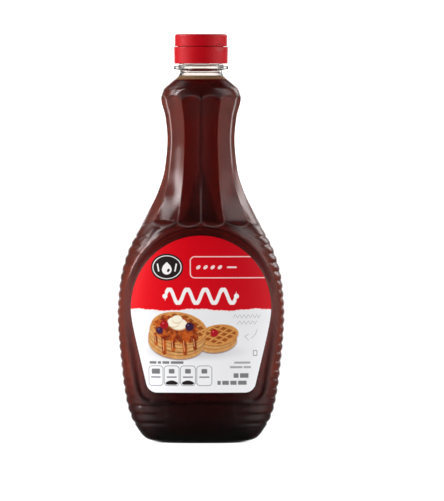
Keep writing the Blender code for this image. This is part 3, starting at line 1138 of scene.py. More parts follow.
@dataclass(frozen=True)
class PrintedFilm:
    """Printed plastic film with a satin varnish."""

    paper: Colour = ink(240, 240, 243)
    red: Colour = ink(226, 0, 20)
    painted_shade_red: Colour = ink(206, 0, 24)
    white: Colour = ink(250, 246, 246)
    dark: Colour = ink(38, 29, 30)
    grey: Colour = ink(120, 118, 120)
    pink: Colour = ink(255, 214, 214)
    roughness: float = 0.46
    index: float = 1.27
    grain: float = 0.00003

    def material(self, side: Side, stamps: StampSet) -> bpy.types.Material:
        """Make the material of a label, with its own drawing.

        Args:
            side: Which label it is.
            stamps: What the shapes are drawn with.

        Returns:
            The material.
        """
        graph = Print(side.value, self.paper, stamps)
        if side is Side.FRONT:
            self.draw_front(graph)
        else:
            self.draw_back(graph)
        cloud = graph.noise(220.0, 3.0)
        sheen = graph.noise(2600.0, 1.0)
        graph.set(Base_Color=graph.colour, Roughness=cloud * 0.08 + self.roughness - 0.04, IOR=self.index)
        graph.bump(cloud + sheen * 0.1, self.grain)
        return graph.material

    def draw_red_field(self, graph: Print, edge: float) -> None:
        """Draw red above a torn, nearly level edge, with painted shade that darkens the red towards the right.

        Args:
            graph: The drawing.
            edge: The edge's height.
        """
        x = graph.x
        tear = (x * 0.61).sine() * 0.16 + (x * 2.1 + 0.7).sine() * 0.09 + (x * 0.17 + 2.0).sine() * 0.55
        torn = (graph.y - edge - tear) * -1.0
        graph.lay(torn - 0.45, ink(252, 214, 214))
        # Painted shade: the red darkens from left to right, where less light falls.
        painted_shade = graph.ease(-34.0, 38.0, x)
        graph.lay(torn, graph.blend(painted_shade, self.red, self.painted_shade_red))

    def draw_badge(self, graph: Print, centre: Pair) -> None:
        """Draw a dark oval with a thin ring and a plain white drop.

        Args:
            graph: The drawing.
            centre: The oval's centre.
        """
        x, y = centre
        graph.lay(graph.oval(centre, (10.0, 8.1)), self.dark)
        graph.lay(graph.outline(graph.oval(centre, (8.7, 6.8)), 0.45), self.white)
        graph.lay(graph.oval((x, y - 1.4), (3.0, 3.0)), self.white)
        graph.lay(graph.box((x, y + 0.7), (1.75, 1.75), 0.15, 45.0), self.white)
        graph.lay(graph.oval((x + 1.0, y - 1.9), (0.8, 1.1), -30.0), self.dark)
        for way in (-1.0, 1.0):
            graph.lay(graph.stroke((x + way * 5.0, y - 2.2), (x + way * 5.8, y + 1.8), 0.9), self.white)

    def draw_tab(self, graph: Print) -> None:
        """Draw a thin white frame that runs off the right edge, with a row of plain marks in it.

        Args:
            graph: The drawing.
        """
        graph.lay(graph.outline(graph.box((24.0, 74.9), (30.4, 6.3), 2.6), 0.62), self.pink)
        pale = ink(255, 226, 226)
        for place in range(4):
            graph.lay(graph.oval((-1.6 + 4.3 * place, 74.9), (1.5, 0.95), 40.0), pale)
        graph.lay(graph.stroke((16.0, 74.9), (21.0, 74.9), 1.0), pale)

    def draw_waffle(
        self, graph: Print, centre: Pair, radii: Pair, turn: float, layers: int
    ) -> None:
        """Draw a small pile of round waffles seen from in front and above.

        Args:
            graph: The drawing.
            centre: Middle of the top waffle.
            radii: Its half-width and half-height.
            turn: How far it is turned, in degrees.
            layers: How many waffles lie under it.
        """
        x, y = centre
        grain = graph.noise(420.0, 3.0)
        crust = graph.blend(grain, ink(176, 98, 40), ink(238, 192, 122))
        for layer in range(layers, 0, -1):
            low = (x - 0.9 * layer, y - 4.3 * layer)
            graph.lay(graph.oval((low[0], low[1] - 0.7), radii, turn), ink(120, 62, 28), 0.8, 0.5)
            graph.lay(graph.oval(low, radii, turn), crust)
            graph.lay(graph.oval((low[0], low[1] + 1.7), radii, turn), ink(176, 104, 48), 0.75, 0.3)
            graph.lay(graph.oval((low[0], low[1] + 2.3), radii, turn), crust)
        graph.lay(graph.oval((x, y - 0.6), radii, turn), ink(150, 84, 38), 0.7, 0.4)
        graph.lay(graph.oval(centre, radii, turn), graph.blend(grain, ink(196, 118, 54), ink(230, 172, 98)))
        along, up = graph.local(centre, turn)
        up = up * (radii[0] / radii[1])
        rate = math.pi / 4.6
        first = abs(((along + up) * (0.7 * rate)).sine())
        second = abs(((along - up) * (0.7 * rate)).sine())
        pocket = graph.ease(0.30, 0.62, first.least(second))
        toast = graph.blend(grain, ink(132, 58, 18), ink(176, 94, 38))
        inside = graph.oval(centre, (radii[0] - 1.5, radii[1] - 1.0), turn)
        graph.colour = graph.blend(pocket * graph.ease(0.3, -0.3, inside), graph.colour, toast)

    def draw_breakfast(self, graph: Print) -> None:
        """Draw waffles with amber glaze, cream and berries.

        Args:
            graph: The drawing.
        """
        graph.lay(graph.oval((-5.5, 24.5), (25.0, 4.2)), ink(205, 203, 206), 0.8, 2.4)
        self.draw_waffle(graph, (10.5, 34.5), (12.0, 6.2), 7.0, 1)
        self.draw_waffle(graph, (-13.5, 38.5), (17.0, 9.6), -8.0, 2)
        wobble = (graph.noise(190.0, 2.0) - 0.5) * 7.0
        gloss = graph.noise(330.0, 2.0)
        amber = graph.blend(graph.ease(0.42, 0.62, gloss), ink(128, 34, 8), ink(196, 84, 22))
        graph.lay(graph.oval((-14.9, 37.6), (14.0, 7.8), -8.0) + wobble, amber, 0.88, 0.4)
        for across, top, bottom, width in ((-4.0, 33.0, 26.5, 2.2), (-10.0, 32.0, 23.5, 2.6), (-17.0, 32.0, 25.5, 2.4),
                                           (-22.5, 33.0, 24.0, 2.8), (-27.5, 35.0, 29.0, 2.0)):
            graph.lay(graph.stroke((across, top), (across + 0.5, bottom), width), amber, 0.92, 0.25)
            graph.lay(graph.stroke((across - 0.4, top - 1.0), (across, bottom + 1.2), 0.35), ink(244, 190, 130), 0.8)
        for place, radii in (((-13.3, 41.0), (5.0, 3.2)), ((-16.5, 42.2), (3.6, 2.8)), ((-14.3, 44.0), (3.0, 2.2))):
            graph.lay(graph.oval((place[0], place[1] - 0.6), radii), ink(226, 200, 160), 1.0, 0.3)
            graph.lay(graph.oval(place, radii), ink(253, 244, 222), 1.0, 0.25)
        for place, size, body, light in (
            ((-6.9, 39.4), 2.5, ink(56, 30, 62), ink(128, 104, 150)),
            ((-22.1, 40.6), 2.6, ink(170, 16, 30), ink(240, 120, 120)),
            ((-24.9, 37.2), 2.1, ink(60, 32, 66), ink(128, 104, 150)),
            ((8.0, 35.6), 2.3, ink(176, 18, 34), ink(240, 120, 120)),
        ):
            graph.lay(graph.oval(place, (size, size)), body, 1.0, 0.2)
            graph.lay(graph.oval((place[0] - 0.3 * size, place[1] + 0.35 * size), (0.4, 0.3)), light, 1.0, 0.3)

    def draw_boxes(self, graph: Print) -> None:
        """Draw four thin frames in a row with plain bars in them.

        Args:
            graph: The drawing.
        """
        for place, across in enumerate((-27.4, -17.6, -7.8, 2.0)):
            frame_shape = graph.box((across, 10.1), (4.5, 5.9), 2.0)
            graph.lay(graph.outline(frame_shape, 0.32), self.dark, 0.85)
            bold = 2.6 if place == 0 else 1.7
            graph.lay(graph.box((across, 12.8), (bold, 1.0 + 0.2 * bold), 0.4), self.dark, 0.8)
            graph.lay(graph.box((across, 9.3), (3.0, 0.38), 0.2), self.grey)
            if place in (1, 2):
                foot = graph.y - 7.3 + (graph.x - across) ** 2.0 * 0.10
                graph.lay(graph.box((across, 10.1), (4.0, 5.4), 1.8).most(foot), self.dark)

    def draw_words(
        self, graph: Print, start: Pair, lengths: Sequence[float], tall: float, faint: bool = False
    ) -> None:
        """Draw a line of plain bars where a line of words would be.

        Args:
            graph: The drawing.
            start: The left end of the line.
            lengths: How long each bar is.
            tall: How tall the bars are.
            faint: Whether they are grey and closer together.
        """
        colour, share, gap = (self.grey, 0.7, 0.8) if faint else (self.dark, 0.78, 0.9)
        across, up = start
        for length in lengths:
            graph.lay(graph.box((across + 0.5 * length, up), (0.5 * length, 0.5 * tall), 0.2), colour, share)
            across += length + gap

    def draw_front(self, graph: Print) -> None:
        """Draw the front label.

        Args:
            graph: The drawing.
        """
        self.draw_red_field(graph, 49.6)
        self.draw_badge(graph, (-20.6, 74.9))
        self.draw_tab(graph)
        graph.lay(graph.wave((-0.2, 57.6), 21.5, 3.9, 10.75, 2.3), self.white)
        for end in (-21.7, 21.3):
            graph.lay(graph.oval((end, 57.6), (1.5, 1.5)), self.white)
        self.draw_breakfast(graph)
        for rise in (45.6, 41.8):
            graph.lay(graph.wave((28.0, rise), 9.0 - 0.6 * (46.0 - rise), 0.9, 2.7, 0.22), self.grey, 0.8)
        bow = graph.outline(graph.oval((26.5, 39.0), (8.0, 7.5)), 0.24)
        graph.lay(bow.most(32.5 - graph.y).most(graph.y - 38.0).most(26.0 - graph.x), self.grey, 0.8)
        for barb in ((28.8, 31.4), (28.9, 34.9)):
            graph.lay(graph.stroke((26.4, 33.6), barb, 0.26), self.grey, 0.8)
        graph.lay(graph.outline(graph.box((33.2, 23.6), (1.2, 1.5), 0.3), 0.4), self.grey)
        self.draw_words(graph, (-31.4, 18.0), (4.4, 2.0, 4.2, 7.6), 1.5)
        self.draw_boxes(graph)
        self.draw_words(graph, (20.0, 17.9), (10.0,), 1.2, faint=True)
        self.draw_words(graph, (17.4, 15.2), (7.6, 4.6), 1.2, faint=True)
        self.draw_words(graph, (19.6, 10.2), (3.0, 5.4), 2.7)
        self.draw_words(graph, (9.8, 5.9), (2.0, 4.0, 3.8, 5.4), 2.4)

    def draw_back(self, graph: Print) -> None:
        """Draw the back label: a red top, a thin frame with rules, and lines of plain bars.

        Args:
            graph: The drawing.
        """
        self.draw_red_field(graph, 68.0)
        graph.lay(graph.stroke((-13.0, 78.0), (13.0, 78.0), 2.0), self.white)
        graph.lay(graph.stroke((-8.0, 73.6), (8.0, 73.6), 1.0), self.pink)
        panel = graph.box((-13.0, 36.0), (14.0, 24.5), 0.6)
        graph.lay(graph.outline(panel, 0.5), self.dark)
        graph.lay(graph.box((-13.0, 56.6), (12.4, 1.6), 0.2), self.dark)
        for line in range(11):
            up = 52.5 - 3.6 * line
            heavy = 0.5 if line % 4 == 0 else 0.16
            graph.lay(graph.box((-13.0, up), (12.8, heavy)), self.dark)
            graph.lay(graph.box((-20.0 + 0.5 * (line % 3), up - 1.8), (5.0 - (line % 3), 0.6), 0.2), self.grey)
            graph.lay(graph.box((-2.6, up - 1.8), (1.5, 0.6), 0.2), self.grey)
        for line in range(9):
            centre = (17.6 - 0.4 * (line % 3), 58.5 - 2.5 * line)
            graph.lay(graph.box(centre, (13.0 - (line % 3), 0.5), 0.2), self.grey)
        x, y = graph.local((17.5, 22.0))
        bars = abs((x * 3.9).sine() + (x * 7.3 + 1.0).sine() * 0.7) - 0.55
        graph.lay((bars * 0.25).most(abs(x) - 10.5).most(abs(y) - 6.0), self.dark, 1.0, 0.08)
        for line in range(3):
            graph.lay(graph.box((0.0, 7.6 - 2.1 * line), (24.0 - 4.0 * line, 0.45), 0.2), self.grey)


@dataclass
class Bottle:
    """The clear bottle: relief on its skin, support ring, neck finish, walls and push-up base."""

    form: BottleForm = BottleForm()
    flutes: Flutes = Flutes()
    ribs: Ribs = Ribs()
    recess: Recess = Recess()
    finish: ClearPlastic = ClearPlastic()
    columns: int = 288
    ridge_crowding: float = 0.88
    wall: float = 0.0009
    pressed_from: Pair = (0.1277, 0.1336)
    neck_height: float = 0.2238
    mouth_height: float = 0.2350
    ring_radius: float = 0.0165
    ring_height: float = 0.0020
    ring_round: float = 0.0005
    finish_radius: float = 0.0132
    bore_radius: float = 0.0114
    bore_bottom: float = 0.2215
    fill_height: float = 0.2180
    foot_width: float = 0.0035
    push_up: float = 0.0032
    warp_reach: float = 0.0065
    warp_pull: float = 0.58
    parting_line: float = 0.00010

    def angles(self) -> np.ndarray:
        """Place the columns.

        Returns:
            Their angles from the front, closer together at the flutes' ridges.
        """
        step = TURN / self.flutes.count
        t = np.arange(self.columns) * self.flutes.count / self.columns
        part = t % 1.0
        return step * (np.floor(t) + part - self.ridge_crowding / TURN * np.sin(TURN * part))

    def heights(self) -> np.ndarray:
        """Place the skin's rows.

        Returns:
            Their heights, closer together at grooves and at the flutes' ends.
        """
        ribs, flutes = self.ribs, self.flutes
        part = np.linspace(0.0, 1.0, 7, endpoint=False)
        eased_part = part - 0.5 / TURN * np.sin(TURN * part)
        grooves = [ribs.lowest + (n + eased_part) * ribs.pitch for n in range(ribs.below + ribs.above + 1)]
        # Each run's bottom and top, and the spacing of its rows
        runs = (
            (0.0, 0.0026, 0.00052),
            (0.0026, ribs.lowest, 0.00092),
            (ribs.highest, flutes.bottom - 0.0006, 0.0008),
            (flutes.bottom - 0.0006, flutes.bottom + 0.0062, 0.00036),
            (flutes.bottom + 0.0062, flutes.top - 0.0048, 0.00155),
            (flutes.top - 0.0048, flutes.top + 0.0004, 0.00045),
            (flutes.top + 0.0004, self.neck_height, 0.0008),
        )
        rows = [np.concatenate(grooves)]
        for low, high, spacing in runs:
            rows.append(np.linspace(low, high, max(2, round((high - low) / spacing)), endpoint=False))
        return np.sort(np.concatenate(rows))

    def warped(self, angle: np.ndarray, height: np.ndarray) -> tuple[np.ndarray, np.ndarray]:
        """Draw the skin's points together along the panel's edge, so that the edge comes out crisp.

        Args:
            angle: The points' angles.
            height: Their heights.

        Returns:
            Their new angles and heights.
        """
        radius = self.form.radius(angle, height)
        x, y = radius * np.sin(angle), -radius * np.cos(angle)
        width, depth, exponent = self.form.section(height, 0.0)
        outline = self.form.panel
        distance = outline.distance(x, height)
        tiny = 0.0001
        slope_x = (outline.distance(x + tiny, height) - outline.distance(x - tiny, height)) / (2.0 * tiny)
        slope_z = (outline.distance(x, height + tiny) - outline.distance(x, height - tiny)) / (2.0 * tiny)
        share = np.clip(np.abs(distance) / self.warp_reach, 0.0, 1.0)
        pull = -distance * self.warp_pull * (1.0 - share) ** 2
        pull *= 1.0 - eased(0.90, 0.975, np.abs(x) / width)
        new_x, new_height = x + pull * slope_x, height + pull * slope_z
        width, depth, exponent = self.form.section(new_height, 0.0)
        cover = np.clip((np.abs(new_x) / width) ** exponent, 0.0, 1.0)
        new_y = np.sign(y) * depth * (1.0 - cover) ** (1.0 / exponent)
        moved = np.abs(pull) > HIDDEN_EDGE
        new_angle = np.arctan2(new_x, -new_y) % TURN
        return np.where(moved, new_angle, angle), np.where(moved, new_height, height)

    def skin(self, inset: float, top: float) -> tuple[np.ndarray, dict[str, np.ndarray]]:
        """Shape the smooth skin that the relief is pressed into.

        Args:
            inset: How far inside the bottle's outside it lies.
            top: Height at which it ends.

        Returns:
            Its points by ring and column, and the numbers that each point carries.
        """
        rows = self.heights()
        rows = rows[rows < top]
        angle, height = np.meshgrid(self.angles(), rows)
        angle, height = self.warped(angle, height)
        radius = self.form.radius(angle, height, inset)
        drop = radius - self.form.radius(angle, height, inset + self.recess.depth)
        outside = self.form.radius(angle, height)
        distance = self.form.panel.distance(outside * np.sin(angle), height)
        lifted = height + inset * (1.0 - np.clip(height / 0.012, 0.0, 1.0))
        numbers = {
            "angle": angle,
            "form_height": height,
            "panel_drop": drop,
            "panel_distance": distance,
            "side": np.clip(np.abs(outside * np.sin(angle)) / self.form.half_width.at(height), 0.0, 1.0),
            "skin": np.ones_like(angle),
        }
        return polar(radius, angle, lifted), numbers

    @staticmethod
    def padded(numbers: dict[str, np.ndarray], before: int, after: int) -> dict[str, np.ndarray]:
        """Give the rings before and after the skin plain numbers.

        Args:
            numbers: The skin's numbers by ring and column.
            before: How many rings come before it.
            after: How many rings come after it.

        Returns:
            The numbers of all the rings: far from the panel, and otherwise 0.
        """
        return {
            name: np.pad(values, ((before, after), (0, 0)), constant_values=OFF_PANEL * (name == "panel_distance"))
            for name, values in numbers.items()
        }

    def foot(self, inset: float) -> np.ndarray:
        """Shape the push-up.

        Args:
            inset: How far inside the bottle's outside they lie.

        Returns:
            The rings' points, from near the middle out to the standing ring.
        """
        width, depth, exponent = self.form.section(np.array(0.0), inset)
        angle = self.angles()
        rings = []
        for share in (0.12, 0.3, 0.48, 0.64, 0.78, 0.88, 0.95, 1.0):
            height = inset + self.push_up * (1.0 - eased(0.15, 1.0, np.array(share)))
            sides = (width - self.foot_width) * share, (depth - self.foot_width) * share
            rings.append(polar(oval_radius(angle, *sides, exponent), angle, height))
        return np.stack(rings)

    def rings(self, outline: Sequence[Pair]) -> np.ndarray:
        """Round rings from radii and heights."""
        return np.stack([polar(radius + 0.0 * self.angles(), self.angles(), height) for radius, height in outline])

    def neck_outline(self) -> list[Pair]:
        """Outline the support ring, neck finish, mouth and bore.

        Returns:
            Radii and heights, from the neck up and down inside again.
        """
        low, high, soft = self.neck_height, self.neck_height + self.ring_height, self.ring_round
        turns = np.linspace(0.0, 0.5 * math.pi, 4)
        outline = [(self.ring_radius - soft * (1 - math.sin(t)), low + soft * (1 - math.cos(t))) for t in turns]
        outline += [(self.ring_radius - soft * (1 - math.cos(t)), high - soft * (1 - math.sin(t))) for t in turns]
        outline += [(self.finish_radius + 0.0006, high + 0.0001), (self.finish_radius, high + 0.0007)]
        outline += [(self.finish_radius, height) for height in (0.2290, 0.2320, 0.2342)]
        lip = 0.5 * (self.finish_radius - self.bore_radius)
        middle = self.bore_radius + lip
        outline += [
            (middle + lip * math.cos(t), self.mouth_height - 0.5 * lip * (1.0 - math.sin(t)))
            for t in np.linspace(0.2, math.pi - 0.2, 6)
        ]
        outline += [(self.bore_radius, height) for height in (0.2335, 0.2300, 0.2262, 0.2238, self.bore_bottom)]
        return outline

    def inner(self) -> np.ndarray:
        """Shape the wall's inner face.

        Returns:
            Its rings, from the shoulder down to the middle of the floor.
        """
        chord = math.cos(math.pi / self.flutes.count)
        heights = np.concatenate((
            np.linspace(0.2200, 0.2080, 14, endpoint=False),
            np.linspace(0.2080, 0.1300, 12, endpoint=False),
            np.linspace(0.1300, 0.0120, 12, endpoint=False),
            np.array([0.0120, 0.0080, 0.0050, 0.0030]),
        ))
        angle, height = np.meshgrid(self.angles(), heights)
        above = eased(*self.pressed_from, height)
        pressed = above * (1.0 - eased(self.flutes.top - 0.003, self.flutes.top, height))
        inset = self.wall + self.recess.depth * (1.0 - above) + self.flutes.hollow * pressed
        width, _, _ = self.form.section(height, 0.0)
        inset = inset + width * (1.0 - chord) * pressed
        radius = self.form.radius(angle, height, inset)
        skin_rings = polar(radius, angle, height)
        floor = self.foot(self.wall)[::-1].copy()
        floor[..., :2] *= 0.92
        return np.concatenate((skin_rings, floor))

    def relief(self) -> GeometryTree:
        """Write the tree that presses flutes, ribs and label panels into a skin.

        Returns:
            The tree.
        """
        tree = GeometryTree("bottle_relief", {
            **named("Flute", self.flutes, "count", "bottom", "top", "bottom_arch", "top_arch", "hollow", "edge",
                    "shallow_end", "shallow_run", "bead", "bead_width"),
            **named("Rib", self.ribs, "pitch", "middle", "lowest", "highest", "relief", "panel_gap", "ease",
                    "side_start", "side_full", "front_top", "front_start", "front_relief"),
            **named("Recess", self.recess, "slope_inside", "slope_outside", "rim", "rim_place", "rim_width"),
            "Parting Line": self.parting_line,
        })
        x, y, z = tree.split(tree.position())
        radius = tree.hypotenuse(x, y)
        height = tree.attribute("form_height")
        angle = tree.attribute("angle")
        pressed, fluted, deeper, bead, crease_highlight = self.flute_nodes(tree, radius, angle, height)
        relief = (pressed - radius) * fluted * deeper + bead
        relief = relief - self.rib_nodes(tree, abs(x), height)
        relief = relief + self.panel_nodes(tree, height)
        seam = tree.ease(0.0004, 0.0, abs(y)) * tree.size("Parting Line")
        body = tree.ease(0.004, 0.012, height) * tree.ease(0.2235, 0.2205, height)
        relief = (relief + seam * body) * tree.attribute("skin")
        scale = relief / radius + 1.0
        node = tree.add("GeometryNodeSetPosition")
        tree.feed(node.inputs["Geometry"], tree.geometry)
        tree.feed(node.inputs["Position"], tree.join(x * scale, y * scale, z))
        tree.geometry = Value(tree, node.outputs[0])
        tree.store("crease_highlight", crease_highlight * tree.attribute("skin"))
        tree.store("fluted", fluted * tree.attribute("skin"))
        tree.close()
        return tree

    def flute_nodes(self, tree: GeometryTree, radius: Value, angle: Value, height: Value) -> tuple[Value, ...]:
        """Work out the flutes.

        Args:
            tree: The tree.
            radius: The skin's distance to the axis.
            angle: Each point's angle.
            height: Each point's height.

        Returns:
            The panels' radius, where they lie, how deep, their bead, and the creases round them, where a highlight is
            painted.
        """
        half = math.pi / tree.size("Flute Count")
        off = tree.math("FLOORED_MODULO", angle, half * 2.0) - half
        part = off / half
        chord = radius * half.cosine() / off.cosine()
        pressed = chord - tree.size("Flute Hollow") * (part * (0.5 * math.pi)).cosine()
        ridge = tree.ease(0.93, 1.0, abs(part)) * tree.ease(0.158, 0.142, height)
        pressed = pressed + ridge * tree.size("Flute Bead")
        bow = 1.0 - (1.0 - (part * part).least(0.9999)).root()
        low = tree.size("Flute Bottom") + tree.size("Flute Bottom Arch") * bow
        high = tree.size("Flute Top") - tree.size("Flute Top Arch") * bow
        edge = tree.size("Flute Edge")
        width = tree.size("Flute Bead Width")
        between = tree.ease(0.9999, 0.995, abs(part))
        lower = tree.ease(width, 0.0, abs(height - low)) * between
        upper = tree.ease(width, 0.0, abs(height - high)) * between
        end = tree.size("Flute Shallow End")
        deeper = tree.ease(low, low + tree.size("Flute Shallow Run"), height) * (1.0 - end) + end
        risen = tree.ease(low, low + edge, height)
        fluted = risen * tree.ease(high, high - edge, height)
        # The creases, where the plastic's material paints a highlight
        crease_highlight = lower.most(ridge * risen).most(upper * 0.5)
        return pressed, fluted, deeper, lower * tree.size("Flute Bead"), crease_highlight

    def rib_nodes(self, tree: GeometryTree, across: Value, height: Value) -> Value:
        """Work out the grooves between the grip ribs.

        Args:
            tree: The tree.
            across: Distance to either side of the middle.
            height: Each point's height.

        Returns:
            The grooves' depth.
        """
        pitch = tree.size("Rib Pitch")
        wave = ((height - tree.size("Rib Middle")) / pitch * math.pi).cosine()
        groove = 1.0 - abs(wave)
        margin = 0.00005
        low, high = tree.size("Rib Lowest"), tree.size("Rib Highest")
        inside = tree.ease(low - margin, low, height) * tree.ease(high + margin, high, height)
        gap = tree.size("Rib Panel Gap")
        side = tree.ease(gap, gap + tree.size("Rib Ease"), tree.attribute("panel_distance"))
        side = side * tree.ease(tree.size("Rib Side Start"), tree.size("Rib Side Full"), tree.attribute("side"))
        start = tree.size("Rib Front Start")
        top = tree.size("Rib Front Top")
        front = tree.ease(start, start + 0.0022, across) * tree.ease(top, top - 0.0008, height)
        side_depth = side * tree.size("Rib Relief")
        front_depth = front * tree.size("Rib Front Relief")
        return groove * inside * side_depth.most(front_depth)

    def panel_nodes(self, tree: GeometryTree, height: Value) -> Value:
        """Work out the sunk panel and its rim.

        Args:
            tree: The tree.
            height: Each point's height.

        Returns:
            How far the surface rises.
        """
        distance = tree.attribute("panel_distance")
        side = tree.ease(self.form.panel.bottom + 0.001, self.form.panel.bottom + 0.010, height)
        outside = tree.size("Recess Slope Outside") * (side * 0.5 + 0.5)
        inside = tree.size("Recess Slope Inside") * (side * 0.4 + 0.6)
        sunk = tree.ease(outside, inside * -1.0, distance) * tree.attribute("panel_drop")
        off = abs(distance - tree.size("Recess Rim Place") * (side * 0.3 + 0.7)) / tree.size("Recess Rim Width")
        return tree.ease(1.0, 0.0, off) * tree.size("Recess Rim") - sunk

    def build(self) -> bpy.types.Object:
        """Build the bottle as one closed, dressed piece.

        Returns:
            The piece.
        """
        skin, numbers = self.skin(0.0, 1.0)
        foot = self.foot(0.0)
        neck, inner = self.rings(self.neck_outline()), self.inner()
        rings = np.concatenate((foot, skin, neck, inner))
        numbers = self.padded(numbers, len(foot), len(neck) + len(inner))
        poles = [(0.0, 0.0, self.push_up), (0.0, 0.0, self.push_up + self.wall)]
        part = surface("bottle_shell", rings, numbers, poles)
        self.relief().shape(part, self.finish.material())
        part.data.materials.append(self.finish.wetted())
        first_inner = (len(rings) - len(inner)) * self.columns
        for face in part.data.polygons:
            if face.center.z < self.fill_height and min(face.vertices) >= first_inner:
                face.material_index = 1
        face_out(part)
        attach(part, "bottle")
        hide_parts("bottle")
        return part


@dataclass
class Contents:
    """The syrup, which reaches into the bottle's wall and creeps a little up it at its level."""

    bottle: Bottle
    finish: DarkSyrup = DarkSyrup()
    inset: float = 0.00055
    creep: float = 0.0020
    film: float = 0.0005

    def build(self) -> bpy.types.Object:
        """Build the syrup as one closed, dressed piece.

        Returns:
            The piece.
        """
        bottle = self.bottle
        skin, numbers = bottle.skin(self.inset, bottle.fill_height + self.creep)
        foot = bottle.foot(self.inset)
        top = []
        for height, inward in ((self.creep - 0.0001, 0.6), (0.0012, 1.2), (0.0005, 2.0), (0.0001, 3.6), (0.0, 6.0)):
            place = bottle.fill_height + height
            width, _, _ = bottle.form.section(np.array(place), self.inset + self.film * inward)
            top.append((float(width), place))
        top += [(radius, bottle.fill_height) for radius in (0.009, 0.005, 0.0015)]
        surface_rings = bottle.rings(top)
        rings = np.concatenate((foot, skin, surface_rings))
        numbers = bottle.padded(numbers, len(foot), len(surface_rings))
        poles = [(0.0, 0.0, bottle.push_up + self.inset), (0.0, 0.0, bottle.fill_height)]
        part = surface("syrup_fill", rings, numbers, poles)
        bottle.relief().shape(part, self.finish.material())
        face_out(part)
        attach(part, "bottle")
        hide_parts("syrup")
        return part


@dataclass
class Label:
    """A thin printed film on one of the sunk panels."""

    UV_NAME = "print"
    UV_SPAN = 0.100

    side: Side
    stamps: StampSet
    form: BottleForm = BottleForm()
    finish: PrintedFilm = PrintedFilm()
    outline: Arch = Arch(0.0418, 0.0435, 0.0306, 0.0048, 0.245)
    panel_depth: float = 0.0012
    lift: float = 0.00008
    thickness: float = 0.00018
    narrowest: float = 0.0002
    columns: int = 64

    def grid(self) -> tuple[np.ndarray, np.ndarray]:
        """Lay rows and columns over the label, closer together at its edges.

        Returns:
            Distances to the right of the middle, and heights.
        """
        rows = self.outline.rows(8, 44, 48)
        turns = np.sin(np.linspace(-0.5 * math.pi, 0.5 * math.pi, self.columns + 1))
        height = np.array([row[0] for row in rows])[:, None]
        half = np.maximum(np.array([row[1] for row in rows])[:, None], self.narrowest)
        across = half * turns[None, :]
        return across, np.broadcast_to(height, across.shape)

    def laid_flat(self, front: np.ndarray, height: np.ndarray) -> np.ndarray:
        """Unroll the label for its drawing.

        Args:
            front: The points of its front face by row and column.
            height: Their heights.

        Returns:
            Each point's place on the flat sheet.
        """
        steps = np.linalg.norm(np.diff(front, axis=1), axis=2)
        run = np.concatenate((np.zeros((len(front), 1)), np.cumsum(steps, axis=1)), axis=1)
        run -= run[:, [self.columns // 2]]
        u, v = 0.5 + run / self.UV_SPAN, (height - self.outline.bottom) / self.UV_SPAN
        return np.stack((u, v), axis=-1).reshape(-1, 2)

    @staticmethod
    def faces(count: int, wide: int) -> list[list[int]]:
        """Join the front and the back points into a closed sheet.

        Args:
            count: How many rows there are.
            wide: How many points a row has.

        Returns:
            The corners of each face.
        """
        index = np.arange(count * wide).reshape(count, wide)
        cells = np.stack((index[:-1, :-1], index[:-1, 1:], index[1:, 1:], index[1:, :-1]), axis=-1).reshape(-1, 4)
        edge = np.concatenate((index[0, :], index[1:, -1], index[-1, -2::-1], index[-2:0:-1, 0]))
        ahead = np.roll(edge, -1)
        shift = count * wide
        rim = np.stack((ahead, edge, edge + shift, ahead + shift), axis=-1)
        return np.concatenate((cells, cells[:, ::-1] + shift, rim[:, ::-1])).tolist()

    def build(self) -> bpy.types.Object:
        """Build the label as one closed, dressed piece.

        Returns:
            The piece.
        """
        across, height = self.grid()
        back = self.form.face(across, height, self.panel_depth, self.lift)
        front = self.form.face(across, height, self.panel_depth, self.lift + self.thickness)
        points = np.concatenate((front.reshape(-1, 3), back.reshape(-1, 3)))
        if self.side is Side.BACK:
            points[:, :2] *= -1.0
        mesh = bpy.data.meshes.new(self.side.value)
        mesh.from_pydata(points.tolist(), [], self.faces(*across.shape))
        flat = np.tile(self.laid_flat(front, height), (2, 1))
        layer = mesh.uv_layers.new(name=self.UV_NAME)
        corners = np.zeros(len(mesh.loops), np.int32)
        mesh.loops.foreach_get("vertex_index", corners)
        layer.data.foreach_set("uv", flat[corners].astype(np.float32).reshape(-1))
        mesh.materials.append(self.finish.material(self.side, self.stamps))
        part = placed(self.side.value + "_film", mesh)
        face_out(part)
        mesh.set_sharp_from_angle(angle=math.radians(50.0))
        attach(part, "bottle")
        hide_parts(self.side.value)
        return part


def rounded(corners: Sequence[tuple[float, float, float]], closed: bool, steps: int = 4) -> list[Pair]:
    """Round the corners of an outline.

    Args:
        corners: Radius from the axis, height and corner radius of each corner, in order.
        closed: Whether the last corner runs on to the first.
        steps: How many edges each rounding has.

    Returns:
        The outline's points.
    """
    points = []
    count = len(corners)
    for i, (radius, height, soft) in enumerate(corners):
        ends = not closed and i in (0, count - 1)
        if ends or soft <= 0.0:
            points.append((radius, height))
            continue
        here = Vector((radius, height))
        before = Vector(corners[i - 1][:2]) - here
        after = Vector(corners[(i + 1) % count][:2]) - here
        half_angle = 0.5 * before.angle(after)
        reach = min(soft / math.tan(half_angle), 0.45 * before.length, 0.45 * after.length)
        size = reach * math.tan(half_angle)
        middle = here + (before.normalized() + after.normalized()).normalized() * (size / math.sin(half_angle))
        start = here + before.normalized() * reach - middle
        finish = here + after.normalized() * reach - middle
        for step in range(steps + 1):
            way = start.lerp(finish, step / steps).normalized() * size
            points.append(tuple(middle + way))
    return points


def divided(outline: Sequence[Pair], spacing: float, closed: bool) -> list[Pair]:
    """Divide an outline's long stretches.

    Args:
        outline: The outline's points.
        spacing: How long an edge may be.
        closed: Whether the last point runs on to the first.

    Returns:
        The points, with more between them.
    """
    points = []
    pairs = zip(outline, [*outline[1:], outline[0]] if closed else outline[1:])
    for start, end in pairs:
        count = max(1, math.ceil(math.dist(start, end) / spacing))
        points += [
            (start[0] + (end[0] - start[0]) * i / count, start[1] + (end[1] - start[1]) * i / count)
            for i in range(count)
        ]
    if not closed:
        points.append(outline[-1])
    return points


